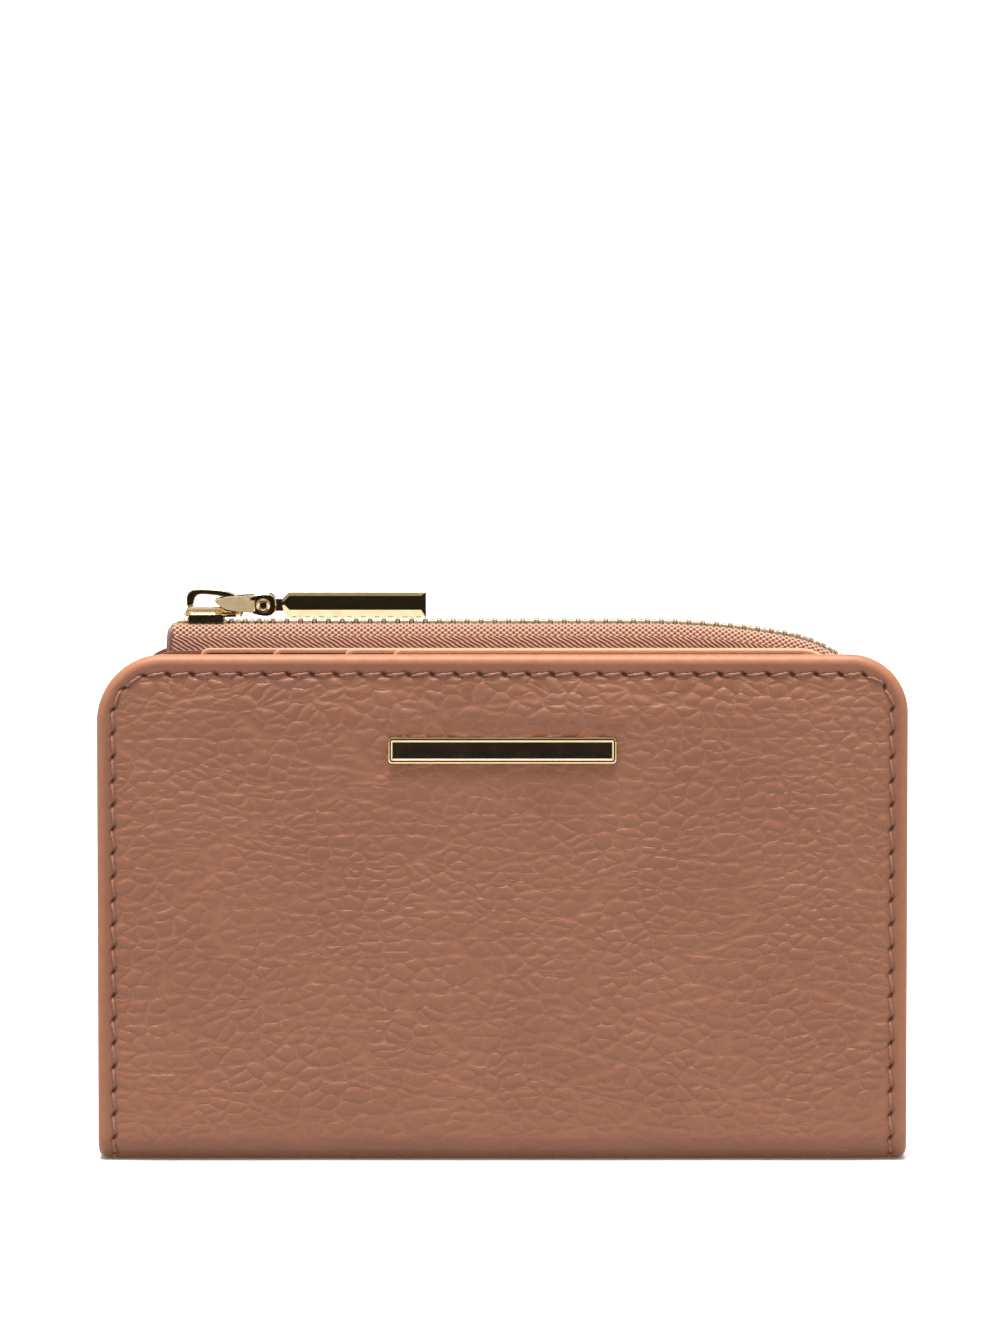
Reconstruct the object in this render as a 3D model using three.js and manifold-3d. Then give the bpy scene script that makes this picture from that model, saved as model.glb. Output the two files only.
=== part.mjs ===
// A small bi-fold wallet that stands on its folded spine, with an L-shaped zip coin
// pocket and four shingled card slots between the covers.
// Millimetres. +X runs to the right along the spine, +Y from the front cover to the
// back cover, +Z up. The origin is the middle of the spine's flat underside.

import * as THREE from 'three';
import { mergeVertices } from 'three/addons/utils/BufferGeometryUtils.js';
import Module from 'manifold-3d';

const manifold = await Module();
manifold.setup();

// ---------- driving dimensions ----------

const GAP = 0.05; // between layers that lie on each other

const COVER = {
  width: 125,
  frontHeight: 78.3,
  backHeight: 76.5, // lower, so that it stays hidden behind the front cover
  depth: 20, // over both covers, closed
  bend: 4, // outer radius where a cover turns into the spine
  leftCorner: 10.4,
  rightCorner: 9.0,
};
const LEATHER = 1.3;
const BOARD = 0.55;
const COVER_LINING = 1.0;
const COVER_LINING_INSET = 0.3;
const BOARD_INSET = 1.2; // the board stops this far inside the cover's edge
const LINING_BOTTOM = 4.6;
const SPINE_LINING = { half: 61, margin: 1, thickness: 0.6 };

const SEAM = { side: 2.5, top: 2.9, width: 0.5, rise: 0.2, bottom: 4.8, cornerInset: 4 };

const PLATE = { width: 35.3, height: 4.2, depth: 0.85, corner: 0.5, z: 63.7, prongX: 12, prong: [0.5, 1.0] };
const SLIT_CLEARANCE = 0.3;
const CLIP = { radius: 2, clearance: 0.1 };

const ZIP = {
  y: 0.7, // middle of the chain, front to back
  top: 83.1, // outer face of the teeth
  start: -50,
  straightEnd: 22,
  crownRadius: 128,
  crownTurn: THREE.MathUtils.degToRad(9.9),
  cornerRadius: 21.7,
  end: 15, // height of the chain's lower end
};
const TOOTH = { pitch: 2.15, width: 0.95, height: 2.2, tip: 0.5, root: 1.6, bead: 2.3 };
const TAPE = { thickness: 0.5, top: -0.85, wing: 3.8, hem: -9.5 };

const POCKET = { left: -57.3, bottom: 6.5, wall: 0.9, corner: 7.2, below: -4.6 };
const COIN_LINING = { thickness: 0.25, left: 1.2, bottom: 1.5, below: -5.8 };
const GUSSET = { thickness: 0.5, inset: 0.2, leftTop: 69, rightTop: 13 };
const HINGE_STRIP = { left: -57, right: 56, height: 2.5 };

const TOP_STOP = { length: 1.1, gap: 0.15, below: 0.8 };
const BOTTOM_STOP = { length: 2, gap: 0.1 };
const END_TAB = { gap: 1.4, thickness: 0.9, height: 5 };

const SLOTS = {
  mouths: [-46.7, -35.5, -24.4, -17.0],
  right: 52.5,
  top: 79,
  bottom: 7,
  thickness: 0.6,
  corner: 6.5,
  mouthCorner: 1.5,
};

const SLIDER = {
  left: -49.4,
  right: -40.4,
  half: 3.1,
  flange: 0.55,
  topPlate: [83.6, 85.2],
  topFlange: 82.7,
  bottomPlate: [79.6, 80.65],
  bottomFlange: 81.6,
  shoulder: [0.8, 0.7], // the cut-off corners of a plate's wide end
  taper: [3, 0.35], // how a plate draws in at its tail
  post: { from: 0.6, to: 2.2, half: 0.3 },
  overlap: 0.2, // of the parts of the slider that are one casting
};
const BRIDGE = { left: -48.9, right: -41, top: 87.8, half: 1.1, shoulder: 1.4, leg: 0.9, crown: 0.75, sill: 0.35 };
const WAIST = { x: -43.4, z: 86.3, radius: 0.5 };
const PIN = { x: -37, z: 85.35, radius: 0.6, headRadius: 0.95, headThickness: 0.35 };
const PIN_CLEARANCE = 0.12;
const LINK = { inner: 1.4, outer: 2.1, tip: 0.8, clearance: 0.2 }; // inner and outer faces of its cheeks
const BAR = { left: -34.2, right: -11.3, bottom: 83.35, top: 87.3, half: 1.1, chamfer: 1, lug: 0.95 };

// ---------- layer faces, front to back ----------

const frontFace = -COVER.depth / 2;
const backFace = COVER.depth / 2;
const pocketFront = ZIP.y - TAPE.wing; // inner faces of the pocket's two walls
const pocketBack = ZIP.y + TAPE.wing;
const pocketRight = zipPlace(zipLength(), POCKET.below, 0).x;

// ---------- materials ----------

function matte(colour, roughness) {
  return new THREE.MeshStandardMaterial({ color: colour, roughness, metalness: 0 });
}
const leather = () => matte(0xa66f56, 0.55);
const innerLeather = () => matte(0xb47d60, 0.6);
const edgedLeather = () => matte(0xe0a680, 0.5);
const fabric = () => matte(0x9a7460, 0.85);
const tapeFabric = () => matte(0xcd9a7b, 0.8);
const board = () => matte(0x8d8272, 0.9);
const thread = () => matte(0x7c4c36, 0.7);
const gold = () => new THREE.MeshStandardMaterial({ color: 0xe8d2a6, roughness: 0.18, metalness: 1 });

// ---------- solids ----------

const AROUND = 6; // segments in each rounded corner
const AXIS = {
  x: new THREE.Vector3(1, 0, 0),
  y: new THREE.Vector3(0, 1, 0),
  z: new THREE.Vector3(0, 0, 1),
};

// An outline drawn in X and Z, as thick as the distance from yFront to yBack.
function panel(outline, yFront, yBack) {
  const options = { depth: yBack - yFront, bevelEnabled: false, curveSegments: AROUND };
  const geometry = new THREE.ExtrudeGeometry(outline, options);
  return geometry.rotateX(Math.PI / 2).translate(0, yBack, 0);
}

// An outline drawn in Y and Z, from x0 to x1.
function bar(outline, x0, x1) {
  const options = { depth: x1 - x0, bevelEnabled: false, curveSegments: AROUND };
  const geometry = new THREE.ExtrudeGeometry(outline, options);
  const turn = new THREE.Matrix4().makeBasis(AXIS.y, AXIS.z, AXIS.x);
  return geometry.applyMatrix4(turn).translate(x0, 0, 0);
}

function box(x0, x1, y0, y1, z0, z1) {
  const geometry = new THREE.BoxGeometry(x1 - x0, y1 - y0, z1 - z0);
  return geometry.translate((x0 + x1) / 2, (y0 + y1) / 2, (z0 + z1) / 2);
}

// A round bar along Y.
function rod(x, z, radius, y0, y1) {
  const geometry = new THREE.CylinderGeometry(radius, radius, y1 - y0, 12);
  return geometry.translate(x, (y0 + y1) / 2, z);
}

function merged(geometry) {
  const bare = geometry.clone();
  bare.deleteAttribute('normal');
  bare.deleteAttribute('uv');
  return mergeVertices(bare, 1e-4);
}

function toSolid(geometry) {
  const bare = merged(geometry);
  const mesh = new manifold.Mesh({
    numProp: 3,
    vertProperties: new Float32Array(bare.attributes.position.array),
    triVerts: new Uint32Array(bare.index.array),
  });
  return new manifold.Manifold(mesh);
}

function toGeometry(solid) {
  const mesh = solid.getMesh();
  const geometry = new THREE.BufferGeometry();
  const positions = new THREE.BufferAttribute(new Float32Array(mesh.vertProperties), 3);
  geometry.setAttribute('position', positions);
  geometry.setIndex(new THREE.BufferAttribute(new Uint32Array(mesh.triVerts), 1));
  geometry.computeVertexNormals();
  return geometry;
}

function union(...geometries) {
  return toGeometry(geometries.map(toSolid).reduce((whole, next) => whole.add(next)));
}

function intersection(a, b) {
  return toGeometry(toSolid(a).intersect(toSolid(b)));
}

function difference(whole, ...cuts) {
  return toGeometry(cuts.map(toSolid).reduce((rest, cut) => rest.subtract(cut), toSolid(whole)));
}

// A closed solid from quads and triangles, turned the right way out: the corners'
// triple products add up to a positive number when the faces point outwards.
function solidFrom(faces) {
  const triangles = faces.flatMap((face) => face.slice(2).map((corner, i) => [face[0], face[i + 1], corner]));
  const volume = triangles.reduce((sum, [a, b, c]) => sum + a.dot(b.clone().cross(c)), 0);
  const positions = [];
  for (const triangle of triangles) {
    if (volume < 0) triangle.reverse();
    for (const corner of triangle) positions.push(...corner.toArray());
  }
  const geometry = new THREE.BufferGeometry();
  geometry.setAttribute('position', new THREE.Float32BufferAttribute(positions, 3));
  const closed = mergeVertices(geometry, 1e-4);
  closed.computeVertexNormals();
  return closed;
}

// ---------- outlines ----------

// A rectangle in X and Z with its own radius at each top corner.
function roundedTop(left, right, bottom, top, leftRadius, rightRadius) {
  const shape = new THREE.Shape();
  shape.moveTo(left, bottom);
  shape.lineTo(right, bottom);
  shape.lineTo(right, top - rightRadius);
  shape.absarc(right - rightRadius, top - rightRadius, rightRadius, 0, Math.PI / 2, false);
  shape.lineTo(left + leftRadius, top);
  shape.absarc(left + leftRadius, top - leftRadius, leftRadius, Math.PI / 2, Math.PI, false);
  shape.closePath();
  return shape;
}

// The cover's outline, brought in by the same distance at the sides and the top.
function coverHeight(side) {
  return side < 0 ? COVER.frontHeight : COVER.backHeight;
}

function coverOutline(side, inset, bottom) {
  const half = COVER.width / 2 - inset;
  const leftRadius = COVER.leftCorner - inset;
  const rightRadius = COVER.rightCorner - inset;
  return roundedTop(-half, half, bottom, coverHeight(side) - inset, leftRadius, rightRadius);
}

function holeBox(x, z, width, height) {
  const hole = new THREE.Path();
  hole.moveTo(x - width / 2, z - height / 2);
  hole.lineTo(x - width / 2, z + height / 2);
  hole.lineTo(x + width / 2, z + height / 2);
  hole.lineTo(x + width / 2, z - height / 2);
  hole.closePath();
  return hole;
}

// ---------- the zip's run: along the top, round the corner, down the side ----------

function zipStretches() {
  const flat = ZIP.straightEnd - ZIP.start;
  const crown = ZIP.crownRadius * ZIP.crownTurn;
  const corner = ZIP.cornerRadius * (Math.PI / 2 - ZIP.crownTurn);
  const down = zipCornerCentre().z - ZIP.end;
  return { flat, crown, corner, down };
}

function zipCornerCentre() {
  const reach = ZIP.crownRadius - ZIP.cornerRadius;
  return {
    x: ZIP.straightEnd + reach * Math.sin(ZIP.crownTurn),
    z: ZIP.top - ZIP.crownRadius + reach * Math.cos(ZIP.crownTurn),
  };
}

function zipLength() {
  const { flat, crown, corner, down } = zipStretches();
  return flat + crown + corner + down;
}

// The point a distance s along the run, moved outwards by out, at depth y.
function zipPlace(s, out, y) {
  const { flat, crown, corner } = zipStretches();
  const centre = zipCornerCentre();
  if (s <= flat) return new THREE.Vector3(ZIP.start + s, y, ZIP.top + out);
  if (s <= flat + crown) {
    const turn = (s - flat) / ZIP.crownRadius;
    const radius = ZIP.crownRadius + out;
    const x = ZIP.straightEnd + radius * Math.sin(turn);
    return new THREE.Vector3(x, y, ZIP.top - ZIP.crownRadius + radius * Math.cos(turn));
  }
  const radius = ZIP.cornerRadius + out;
  if (s <= flat + crown + corner) {
    const turn = ZIP.crownTurn + (s - flat - crown) / ZIP.cornerRadius;
    return new THREE.Vector3(centre.x + radius * Math.sin(turn), y, centre.z + radius * Math.cos(turn));
  }
  return new THREE.Vector3(centre.x + radius, y, centre.z - (s - flat - crown - corner));
}

// Stations along the run: few where it is straight, closer round the corner.
function zipStations() {
  const { flat, crown, corner, down } = zipStretches();
  const stations = [0];
  const addSteps = (from, length, steps) => {
    for (let i = 1; i <= steps; i += 1) stations.push(from + (length * i) / steps);
  };
  addSteps(0, flat, 1);
  addSteps(flat, crown, 4);
  addSteps(flat + crown, corner, 8);
  addSteps(flat + crown + corner, down, 1);
  return stations;
}

// A section of [y, out] points drawn along the run and closed at both ends.
function sweptAlongZip(points) {
  const turnsBack = THREE.ShapeUtils.area(points.map(([y, out]) => ({ x: y, y: out }))) < 0;
  const section = turnsBack ? [...points].reverse() : points;
  const stations = zipStations();
  const rings = stations.map((s) => section.map(([y, out]) => zipPlace(s, out, y)));
  const faces = [];
  for (let i = 1; i < rings.length; i += 1) {
    for (let j = 0; j < section.length; j += 1) {
      const k = (j + 1) % section.length;
      faces.push([rings[i - 1][j], rings[i][j], rings[i][k], rings[i - 1][k]]);
    }
  }
  const flatSection = section.map(([y, out]) => new THREE.Vector2(y, out));
  for (const [a, b, c] of THREE.ShapeUtils.triangulateShape(flatSection, [])) {
    const last = rings[rings.length - 1];
    faces.push([rings[0][a], rings[0][b], rings[0][c]]);
    faces.push([last[c], last[b], last[a]]);
  }
  return faces;
}

// A comb of teeth on one bead. side is -1 for the front row and 1 for the back row.
function toothComb(side) {
  const count = Math.floor((zipLength() - TOOTH.width) / TOOTH.pitch);
  const yTip = ZIP.y + side * TOOTH.tip;
  const yRoot = ZIP.y + side * TOOTH.root;
  const yBead = ZIP.y + side * TOOTH.bead;
  const low = -TOOTH.height;
  const faces = [];
  // One wall of the comb, between two places given as [s, y].
  const wall = ([s0, y0], [s1, y1]) => {
    faces.push([zipPlace(s0, 0, y0), zipPlace(s1, 0, y1), zipPlace(s1, low, y1), zipPlace(s0, low, y0)]);
  };
  const deck = (s0, s1, y0, y1) => {
    faces.push([zipPlace(s0, 0, y0), zipPlace(s1, 0, y0), zipPlace(s1, 0, y1), zipPlace(s0, 0, y1)]);
    faces.push([zipPlace(s0, low, y1), zipPlace(s1, low, y1), zipPlace(s1, low, y0), zipPlace(s0, low, y0)]);
  };
  for (let i = 0; i < count; i += 1) {
    const start = i * TOOTH.pitch;
    const middle = start + TOOTH.width;
    const next = start + TOOTH.pitch;
    deck(start, middle, yBead, yRoot);
    deck(start, middle, yRoot, yTip);
    wall([middle, yBead], [start, yBead]);
    wall([start, yRoot], [start, yTip]);
    wall([start, yTip], [middle, yTip]);
    wall([middle, yTip], [middle, yRoot]);
    if (i + 1 < count) {
      deck(middle, next, yBead, yRoot);
      wall([next, yBead], [middle, yBead]);
      wall([middle, yRoot], [next, yRoot]);
    } else {
      wall([middle, yRoot], [middle, yBead]);
    }
    if (i === 0) wall([start, yBead], [start, yRoot]);
  }
  return faces;
}

function zipTape(side) {
  const inner = ZIP.y + side * (TOOTH.bead + GAP);
  const outer = ZIP.y + side * TAPE.wing;
  const fold = outer - side * TAPE.thickness;
  const under = TAPE.top - TAPE.thickness;
  const section = [
    [inner, TAPE.top],
    [outer, TAPE.top],
    [outer, TAPE.hem],
    [fold, TAPE.hem],
    [fold, under],
    [inner, under],
  ];
  return sweptAlongZip(section);
}

// ---------- covers and spine ----------

// A point of one side's bend, in Y and Z. turn is 0 at the spine and a right angle at the cover.
function arcPoint(side, radius, turn) {
  const centreY = side * (COVER.depth / 2 - COVER.bend);
  return [centreY + side * radius * Math.sin(turn), COVER.bend - radius * Math.cos(turn)];
}

const SPLIT = Math.PI / 4; // the bend is shared equally by the spine and the cover
const SPLIT_GAP = 0.03;
const BEND_STEPS = 3;

function arcPoints(side, radius, from, to) {
  const points = [];
  for (let i = 0; i <= BEND_STEPS; i += 1) {
    points.push(arcPoint(side, radius, from + ((to - from) * i) / BEND_STEPS));
  }
  return points;
}

function shapeOf(points) {
  return new THREE.Shape(points.map(([u, v]) => new THREE.Vector2(u, v)));
}

function spineLeather() {
  const inner = COVER.bend - LEATHER;
  const turn = SPLIT - SPLIT_GAP;
  const outline = shapeOf([
    ...arcPoints(-1, COVER.bend, turn, 0),
    ...arcPoints(1, COVER.bend, 0, turn),
    ...arcPoints(1, inner, turn, 0),
    ...arcPoints(-1, inner, 0, turn),
  ]);
  return bar(outline, -COVER.width / 2, COVER.width / 2);
}

function spineLining() {
  const half = COVER.depth / 2 - COVER.bend - SPINE_LINING.margin;
  const low = LEATHER + GAP;
  return box(-SPINE_LINING.half, SPINE_LINING.half, -half, half, low, low + SPINE_LINING.thickness);
}

function coverLeather(side) {
  const inner = COVER.bend - LEATHER;
  const turn = SPLIT + SPLIT_GAP;
  const face = (side * COVER.depth) / 2;
  const overTop = coverHeight(side) + COVER.bend;
  const outline = shapeOf([
    ...arcPoints(side, COVER.bend, turn, Math.PI / 2),
    [face, overTop],
    [face - side * LEATHER, overTop],
    ...arcPoints(side, inner, Math.PI / 2, turn),
  ]);
  const sheet = bar(outline, -COVER.width / 2, COVER.width / 2);
  return intersection(sheet, panel(coverOutline(side, 0, -COVER.bend), -COVER.depth, COVER.depth));
}

function coverBoard(side) {
  const outer = side * (COVER.depth / 2 - LEATHER - GAP);
  const inner = outer - side * BOARD;
  const outline = coverOutline(side, BOARD_INSET, LINING_BOTTOM);
  return panel(outline, Math.min(outer, inner), Math.max(outer, inner));
}

function coverLining(side) {
  const outer = side * (COVER.depth / 2 - LEATHER - BOARD - 2 * GAP);
  const inner = outer - side * COVER_LINING;
  const outline = coverOutline(side, COVER_LINING_INSET, LINING_BOTTOM);
  return panel(outline, Math.min(outer, inner), Math.max(outer, inner));
}

// The seam is one raised line of thread, up one side, over the top and down the other.
function coverThread(side) {
  const half = COVER.width / 2 - SEAM.side;
  const top = coverHeight(side) - SEAM.top;
  const leftRadius = COVER.leftCorner - SEAM.cornerInset;
  const rightRadius = COVER.rightCorner - SEAM.cornerInset;
  const outline = roundedTop(-half, half, SEAM.bottom, top, leftRadius, rightRadius);
  const inner = half - SEAM.width;
  const innerTop = top - SEAM.width;
  const inside = roundedTop(-inner, inner, 0, innerTop, leftRadius - SEAM.width, rightRadius - SEAM.width);
  const near = side * (COVER.depth / 2 + GAP);
  const far = near + side * SEAM.rise;
  const [y0, y1] = [Math.min(near, far), Math.max(near, far)];
  return difference(panel(outline, y0, y1), panel(inside, y0 - 1, y1 + 1));
}

// ---------- name plate ----------

const prongPlaces = [-PLATE.prongX, PLATE.prongX];

function namePlate() {
  const back = frontFace - GAP;
  const half = PLATE.width / 2;
  const z0 = PLATE.z - PLATE.height / 2;
  const outline = roundedTop(-half, half, z0, z0 + PLATE.height, PLATE.corner, PLATE.corner);
  const plate = panel(outline, back - PLATE.depth, back);
  const [width, height] = PLATE.prong;
  const root = back - PLATE.depth / 2;
  const point = frontFace + LEATHER + GAP + BOARD;
  const prongs = prongPlaces.map((x) =>
    box(x - width / 2, x + width / 2, root, point, PLATE.z - height / 2, PLATE.z + height / 2));
  return union(plate, ...prongs);
}

function prongSlits() {
  const [width, height] = PLATE.prong;
  const wide = width + 2 * SLIT_CLEARANCE;
  const high = height + 2 * SLIT_CLEARANCE;
  return prongPlaces.map((x) =>
    box(x - wide / 2, x + wide / 2, frontFace - 1, 0, PLATE.z - high / 2, PLATE.z + high / 2));
}

function clipPockets() {
  return prongPlaces.map((x) => rod(x, PLATE.z, CLIP.radius + SLIT_CLEARANCE, frontFace - 1, 0));
}

function plateClip(x) {
  const outline = new THREE.Shape();
  outline.absarc(x, PLATE.z, CLIP.radius, 0, 2 * Math.PI, false);
  const [width, height] = PLATE.prong;
  outline.holes.push(holeBox(x, PLATE.z, width + 2 * CLIP.clearance, height + 2 * CLIP.clearance));
  const front = frontFace + LEATHER + GAP;
  return panel(outline, front, front + BOARD);
}

// ---------- coin pocket ----------

// A pocket panel's outline: square below, following the zip's run at a distance inside it.
function pocketOutline(left, bottom, below) {
  const shape = new THREE.Shape();
  const stations = zipStations();
  const first = zipPlace(0, below, 0);
  const corner = POCKET.corner - (left - POCKET.left);
  shape.moveTo(left, bottom);
  shape.lineTo(zipPlace(zipLength(), below, 0).x, bottom);
  for (const s of stations.slice(1).reverse()) {
    const point = zipPlace(s, below, 0);
    shape.lineTo(point.x, point.z);
  }
  shape.lineTo(left + corner, first.z);
  shape.absarc(left + corner, first.z - corner, corner, Math.PI / 2, Math.PI, false);
  shape.closePath();
  return shape;
}

function pocketWall(side) {
  const inner = ZIP.y + side * (TAPE.wing + GAP);
  const outer = inner + side * POCKET.wall;
  const outline = pocketOutline(POCKET.left, POCKET.bottom, POCKET.below);
  return panel(outline, Math.min(inner, outer), Math.max(inner, outer));
}

function coinLining(side) {
  const outer = ZIP.y + side * (TAPE.wing - TAPE.thickness - GAP);
  const inner = outer - side * COIN_LINING.thickness;
  const left = POCKET.left + COIN_LINING.left;
  const outline = pocketOutline(left, POCKET.bottom + COIN_LINING.bottom, COIN_LINING.below);
  return panel(outline, Math.min(inner, outer), Math.max(inner, outer));
}

// The strip that closes the pocket's left end, its bottom and the foot of its right side.
function pocketGusset() {
  const { thickness, inset, leftTop, rightTop } = GUSSET;
  const left = POCKET.left + inset;
  const right = pocketRight - inset;
  const low = POCKET.bottom + inset;
  const outline = shapeOf([
    [left, low],
    [right, low],
    [right, rightTop],
    [right - thickness, rightTop],
    [right - thickness, low + thickness],
    [left + thickness, low + thickness],
    [left + thickness, leftTop],
    [left, leftTop],
  ]);
  return panel(outline, pocketFront, pocketBack);
}

// The glued strip that holds the pocket's back wall to the back cover, under the note space.
function pocketHingeStrip() {
  const front = pocketBack + POCKET.wall + 2 * GAP;
  const back = backFace - LEATHER - BOARD - COVER_LINING - 3 * GAP;
  const { left, right, height } = HINGE_STRIP;
  return box(left, right, front, back, POCKET.bottom, POCKET.bottom + height);
}

// Slot 1 lies on the pocket's front wall; each further slot lies in front of the last.
function cardSlot(index) {
  const layer = SLOTS.thickness + GAP;
  const back = pocketFront - POCKET.wall - 2 * GAP - layer * index;
  const { right, bottom, top, mouthCorner, corner } = SLOTS;
  const outline = roundedTop(SLOTS.mouths[index], right, bottom, top, mouthCorner, corner);
  return panel(outline, back - SLOTS.thickness, back);
}

// ---------- zip ends ----------

function topStop(side) {
  const y0 = ZIP.y + side * TOOTH.tip;
  const y1 = ZIP.y + side * TOOTH.bead;
  const x = ZIP.start - TOP_STOP.gap;
  const top = ZIP.top - TOP_STOP.below;
  return box(x - TOP_STOP.length, x, Math.min(y0, y1), Math.max(y0, y1), ZIP.top - TOOTH.height, top);
}

function bottomStop() {
  const x = zipPlace(zipLength(), 0, 0).x;
  const z = ZIP.end - BOTTOM_STOP.gap;
  const [y0, y1] = [ZIP.y - TOOTH.root, ZIP.y + TOOTH.root];
  return box(x - TOOTH.height, x - BOTTOM_STOP.gap, y0, y1, z - BOTTOM_STOP.length, z);
}

function endTab() {
  const x = ZIP.start - END_TAB.gap;
  const top = ZIP.top + TAPE.top;
  return box(x - END_TAB.thickness, x, pocketFront, pocketBack, top - END_TAB.height, top);
}

// ---------- slider and pull ----------

// A slider plate in X and Y, wide at the shoulders and drawn in at the tail.
function sliderPlate([z0, z1]) {
  const { left, right, half, shoulder, taper } = SLIDER;
  const tail = half - taper[1];
  const shape = shapeOf([
    [left, -half + shoulder[1]],
    [left + shoulder[0], -half],
    [right - taper[0], -half],
    [right, -tail],
    [right, tail],
    [right - taper[0], half],
    [left + shoulder[0], half],
    [left, half - shoulder[1]],
  ]);
  const options = { depth: z1 - z0, bevelEnabled: false };
  return new THREE.ExtrudeGeometry(shape, options).translate(0, ZIP.y, z0);
}

function sliderBody() {
  const { left, right, half, flange, topPlate, bottomPlate, overlap, post } = SLIDER;
  const flanges = [-1, 1].flatMap((side) => {
    const y0 = ZIP.y + side * half;
    const y1 = y0 - side * flange;
    const [low, high] = [Math.min(y0, y1), Math.max(y0, y1)];
    const from = left + SLIDER.shoulder[0] + overlap;
    const to = right - SLIDER.taper[0];
    return [
      box(from, to, low, high, SLIDER.topFlange, topPlate[0] + overlap),
      box(from, to, low, high, bottomPlate[1] - overlap, SLIDER.bottomFlange),
    ];
  });
  const [y0, y1] = [ZIP.y - post.half, ZIP.y + post.half];
  const wedge = box(left + post.from, left + post.to, y0, y1, bottomPlate[0] + overlap, topPlate[1] - overlap);
  return union(sliderPlate(topPlate), sliderPlate(bottomPlate), wedge, ...flanges);
}

// The arch on the slider's back, with the window that the link hangs in.
function sliderBridge() {
  const { left, right, top, half, shoulder, leg, crown, sill } = BRIDGE;
  const foot = SLIDER.topPlate[1] + GAP;
  const shape = new THREE.Shape();
  shape.moveTo(left, foot);
  shape.lineTo(right, foot);
  shape.lineTo(right, foot + shoulder);
  shape.quadraticCurveTo(right - sill, top - sill, right - 2 * shoulder, top);
  shape.lineTo(left + shoulder, top);
  shape.quadraticCurveTo(left, top, left, top - shoulder);
  shape.closePath();
  const hole = new THREE.Path();
  hole.moveTo(left + leg, foot + sill);
  hole.lineTo(left + leg, top - shoulder);
  hole.lineTo(left + shoulder, top - crown);
  hole.lineTo(right - 2, top - crown);
  hole.lineTo(right - shoulder, top - shoulder);
  hole.lineTo(right - shoulder, foot + sill);
  hole.closePath();
  shape.holes.push(hole);
  return panel(shape, ZIP.y - half, ZIP.y + half);
}

function pinHole() {
  return rod(PIN.x, PIN.z, PIN.radius + PIN_CLEARANCE, pocketFront, pocketBack);
}

function pullLink() {
  const foot = SLIDER.topPlate[1] + LINK.clearance;
  const tip = WAIST.x - LINK.tip;
  const cheek = () => {
    const shape = new THREE.Shape();
    shape.moveTo(tip, WAIST.z);
    shape.quadraticCurveTo(tip + 0.4, WAIST.z + 0.9, tip + 3, WAIST.z + 0.8);
    shape.quadraticCurveTo(PIN.x - 0.6, PIN.z + 1.7, PIN.x + 1.1, PIN.z + 0.6);
    shape.lineTo(PIN.x + 1.2, PIN.z - 0.5);
    shape.quadraticCurveTo(PIN.x - 0.8, PIN.z - 1.5, tip + 4, foot);
    shape.quadraticCurveTo(tip + 0.6, foot, tip, WAIST.z);
    return shape;
  };
  const cheeks = [-1, 1].map((side) => {
    const a = ZIP.y + side * LINK.inner;
    const b = ZIP.y + side * LINK.outer;
    return panel(cheek(), Math.min(a, b), Math.max(a, b));
  });
  const reach = (LINK.inner + LINK.outer) / 2;
  const waist = rod(WAIST.x, WAIST.z, WAIST.radius, ZIP.y - reach, ZIP.y + reach);
  return difference(union(...cheeks, waist), pinHole());
}

function pullPin() {
  const reach = LINK.outer + 2 * GAP;
  const heads = [-1, 1].map((side) => {
    const a = ZIP.y + side * reach;
    const b = a + side * PIN.headThickness;
    return rod(PIN.x, PIN.z, PIN.headRadius, Math.min(a, b), Math.max(a, b));
  });
  const end = reach + PIN.headThickness / 2;
  return union(rod(PIN.x, PIN.z, PIN.radius, ZIP.y - end, ZIP.y + end), ...heads);
}

function pullBar() {
  const { left, right, bottom, top, half, chamfer, lug } = BAR;
  const shape = new THREE.Shape();
  shape.moveTo(PIN.x, PIN.z - lug);
  shape.lineTo(left, PIN.z - lug);
  shape.lineTo(left, bottom + chamfer);
  shape.lineTo(left + chamfer, bottom);
  shape.lineTo(right, bottom);
  shape.lineTo(right, top);
  shape.lineTo(left + chamfer, top);
  shape.lineTo(left, top - chamfer);
  shape.lineTo(left, PIN.z + lug);
  shape.lineTo(PIN.x, PIN.z + lug);
  shape.absarc(PIN.x, PIN.z, lug, Math.PI / 2, (3 * Math.PI) / 2, false);
  return difference(panel(shape, ZIP.y - half, ZIP.y + half), pinHole());
}

// ---------- assembly ----------

const wallet = new THREE.Group();

function add(name, geometry, material) {
  const mesh = new THREE.Mesh(geometry, material);
  mesh.name = name;
  wallet.add(mesh);
}

function addSpine() {
  add('spine_leather', spineLeather(), leather());
  add('spine_lining', spineLining(), innerLeather());
}

function addFrontCover() {
  add('front_leather', difference(coverLeather(-1), ...prongSlits()), leather());
  add('front_board', difference(coverBoard(-1), ...clipPockets()), board());
  add('front_lining', coverLining(-1), innerLeather());
  add('front_thread', coverThread(-1), thread());
  add('name_plate', namePlate(), gold());
  add('plate_clip_left', plateClip(-PLATE.prongX), gold());
  add('plate_clip_right', plateClip(PLATE.prongX), gold());
}

function addBackCover() {
  add('back_leather', coverLeather(1), leather());
  add('back_board', coverBoard(1), board());
  add('back_lining', coverLining(1), innerLeather());
  add('back_thread', coverThread(1), thread());
}

function addPocket() {
  add('pocket_front_wall', pocketWall(-1), leather());
  add('pocket_back_wall', pocketWall(1), leather());
  add('pocket_gusset', pocketGusset(), innerLeather());
  add('pocket_hinge_strip', pocketHingeStrip(), innerLeather());
  add('coin_lining_front', coinLining(-1), fabric());
  add('coin_lining_back', coinLining(1), fabric());
  SLOTS.mouths.forEach((mouth, index) => add(`card_slot_${index + 1}`, cardSlot(index), edgedLeather()));
}

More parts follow.
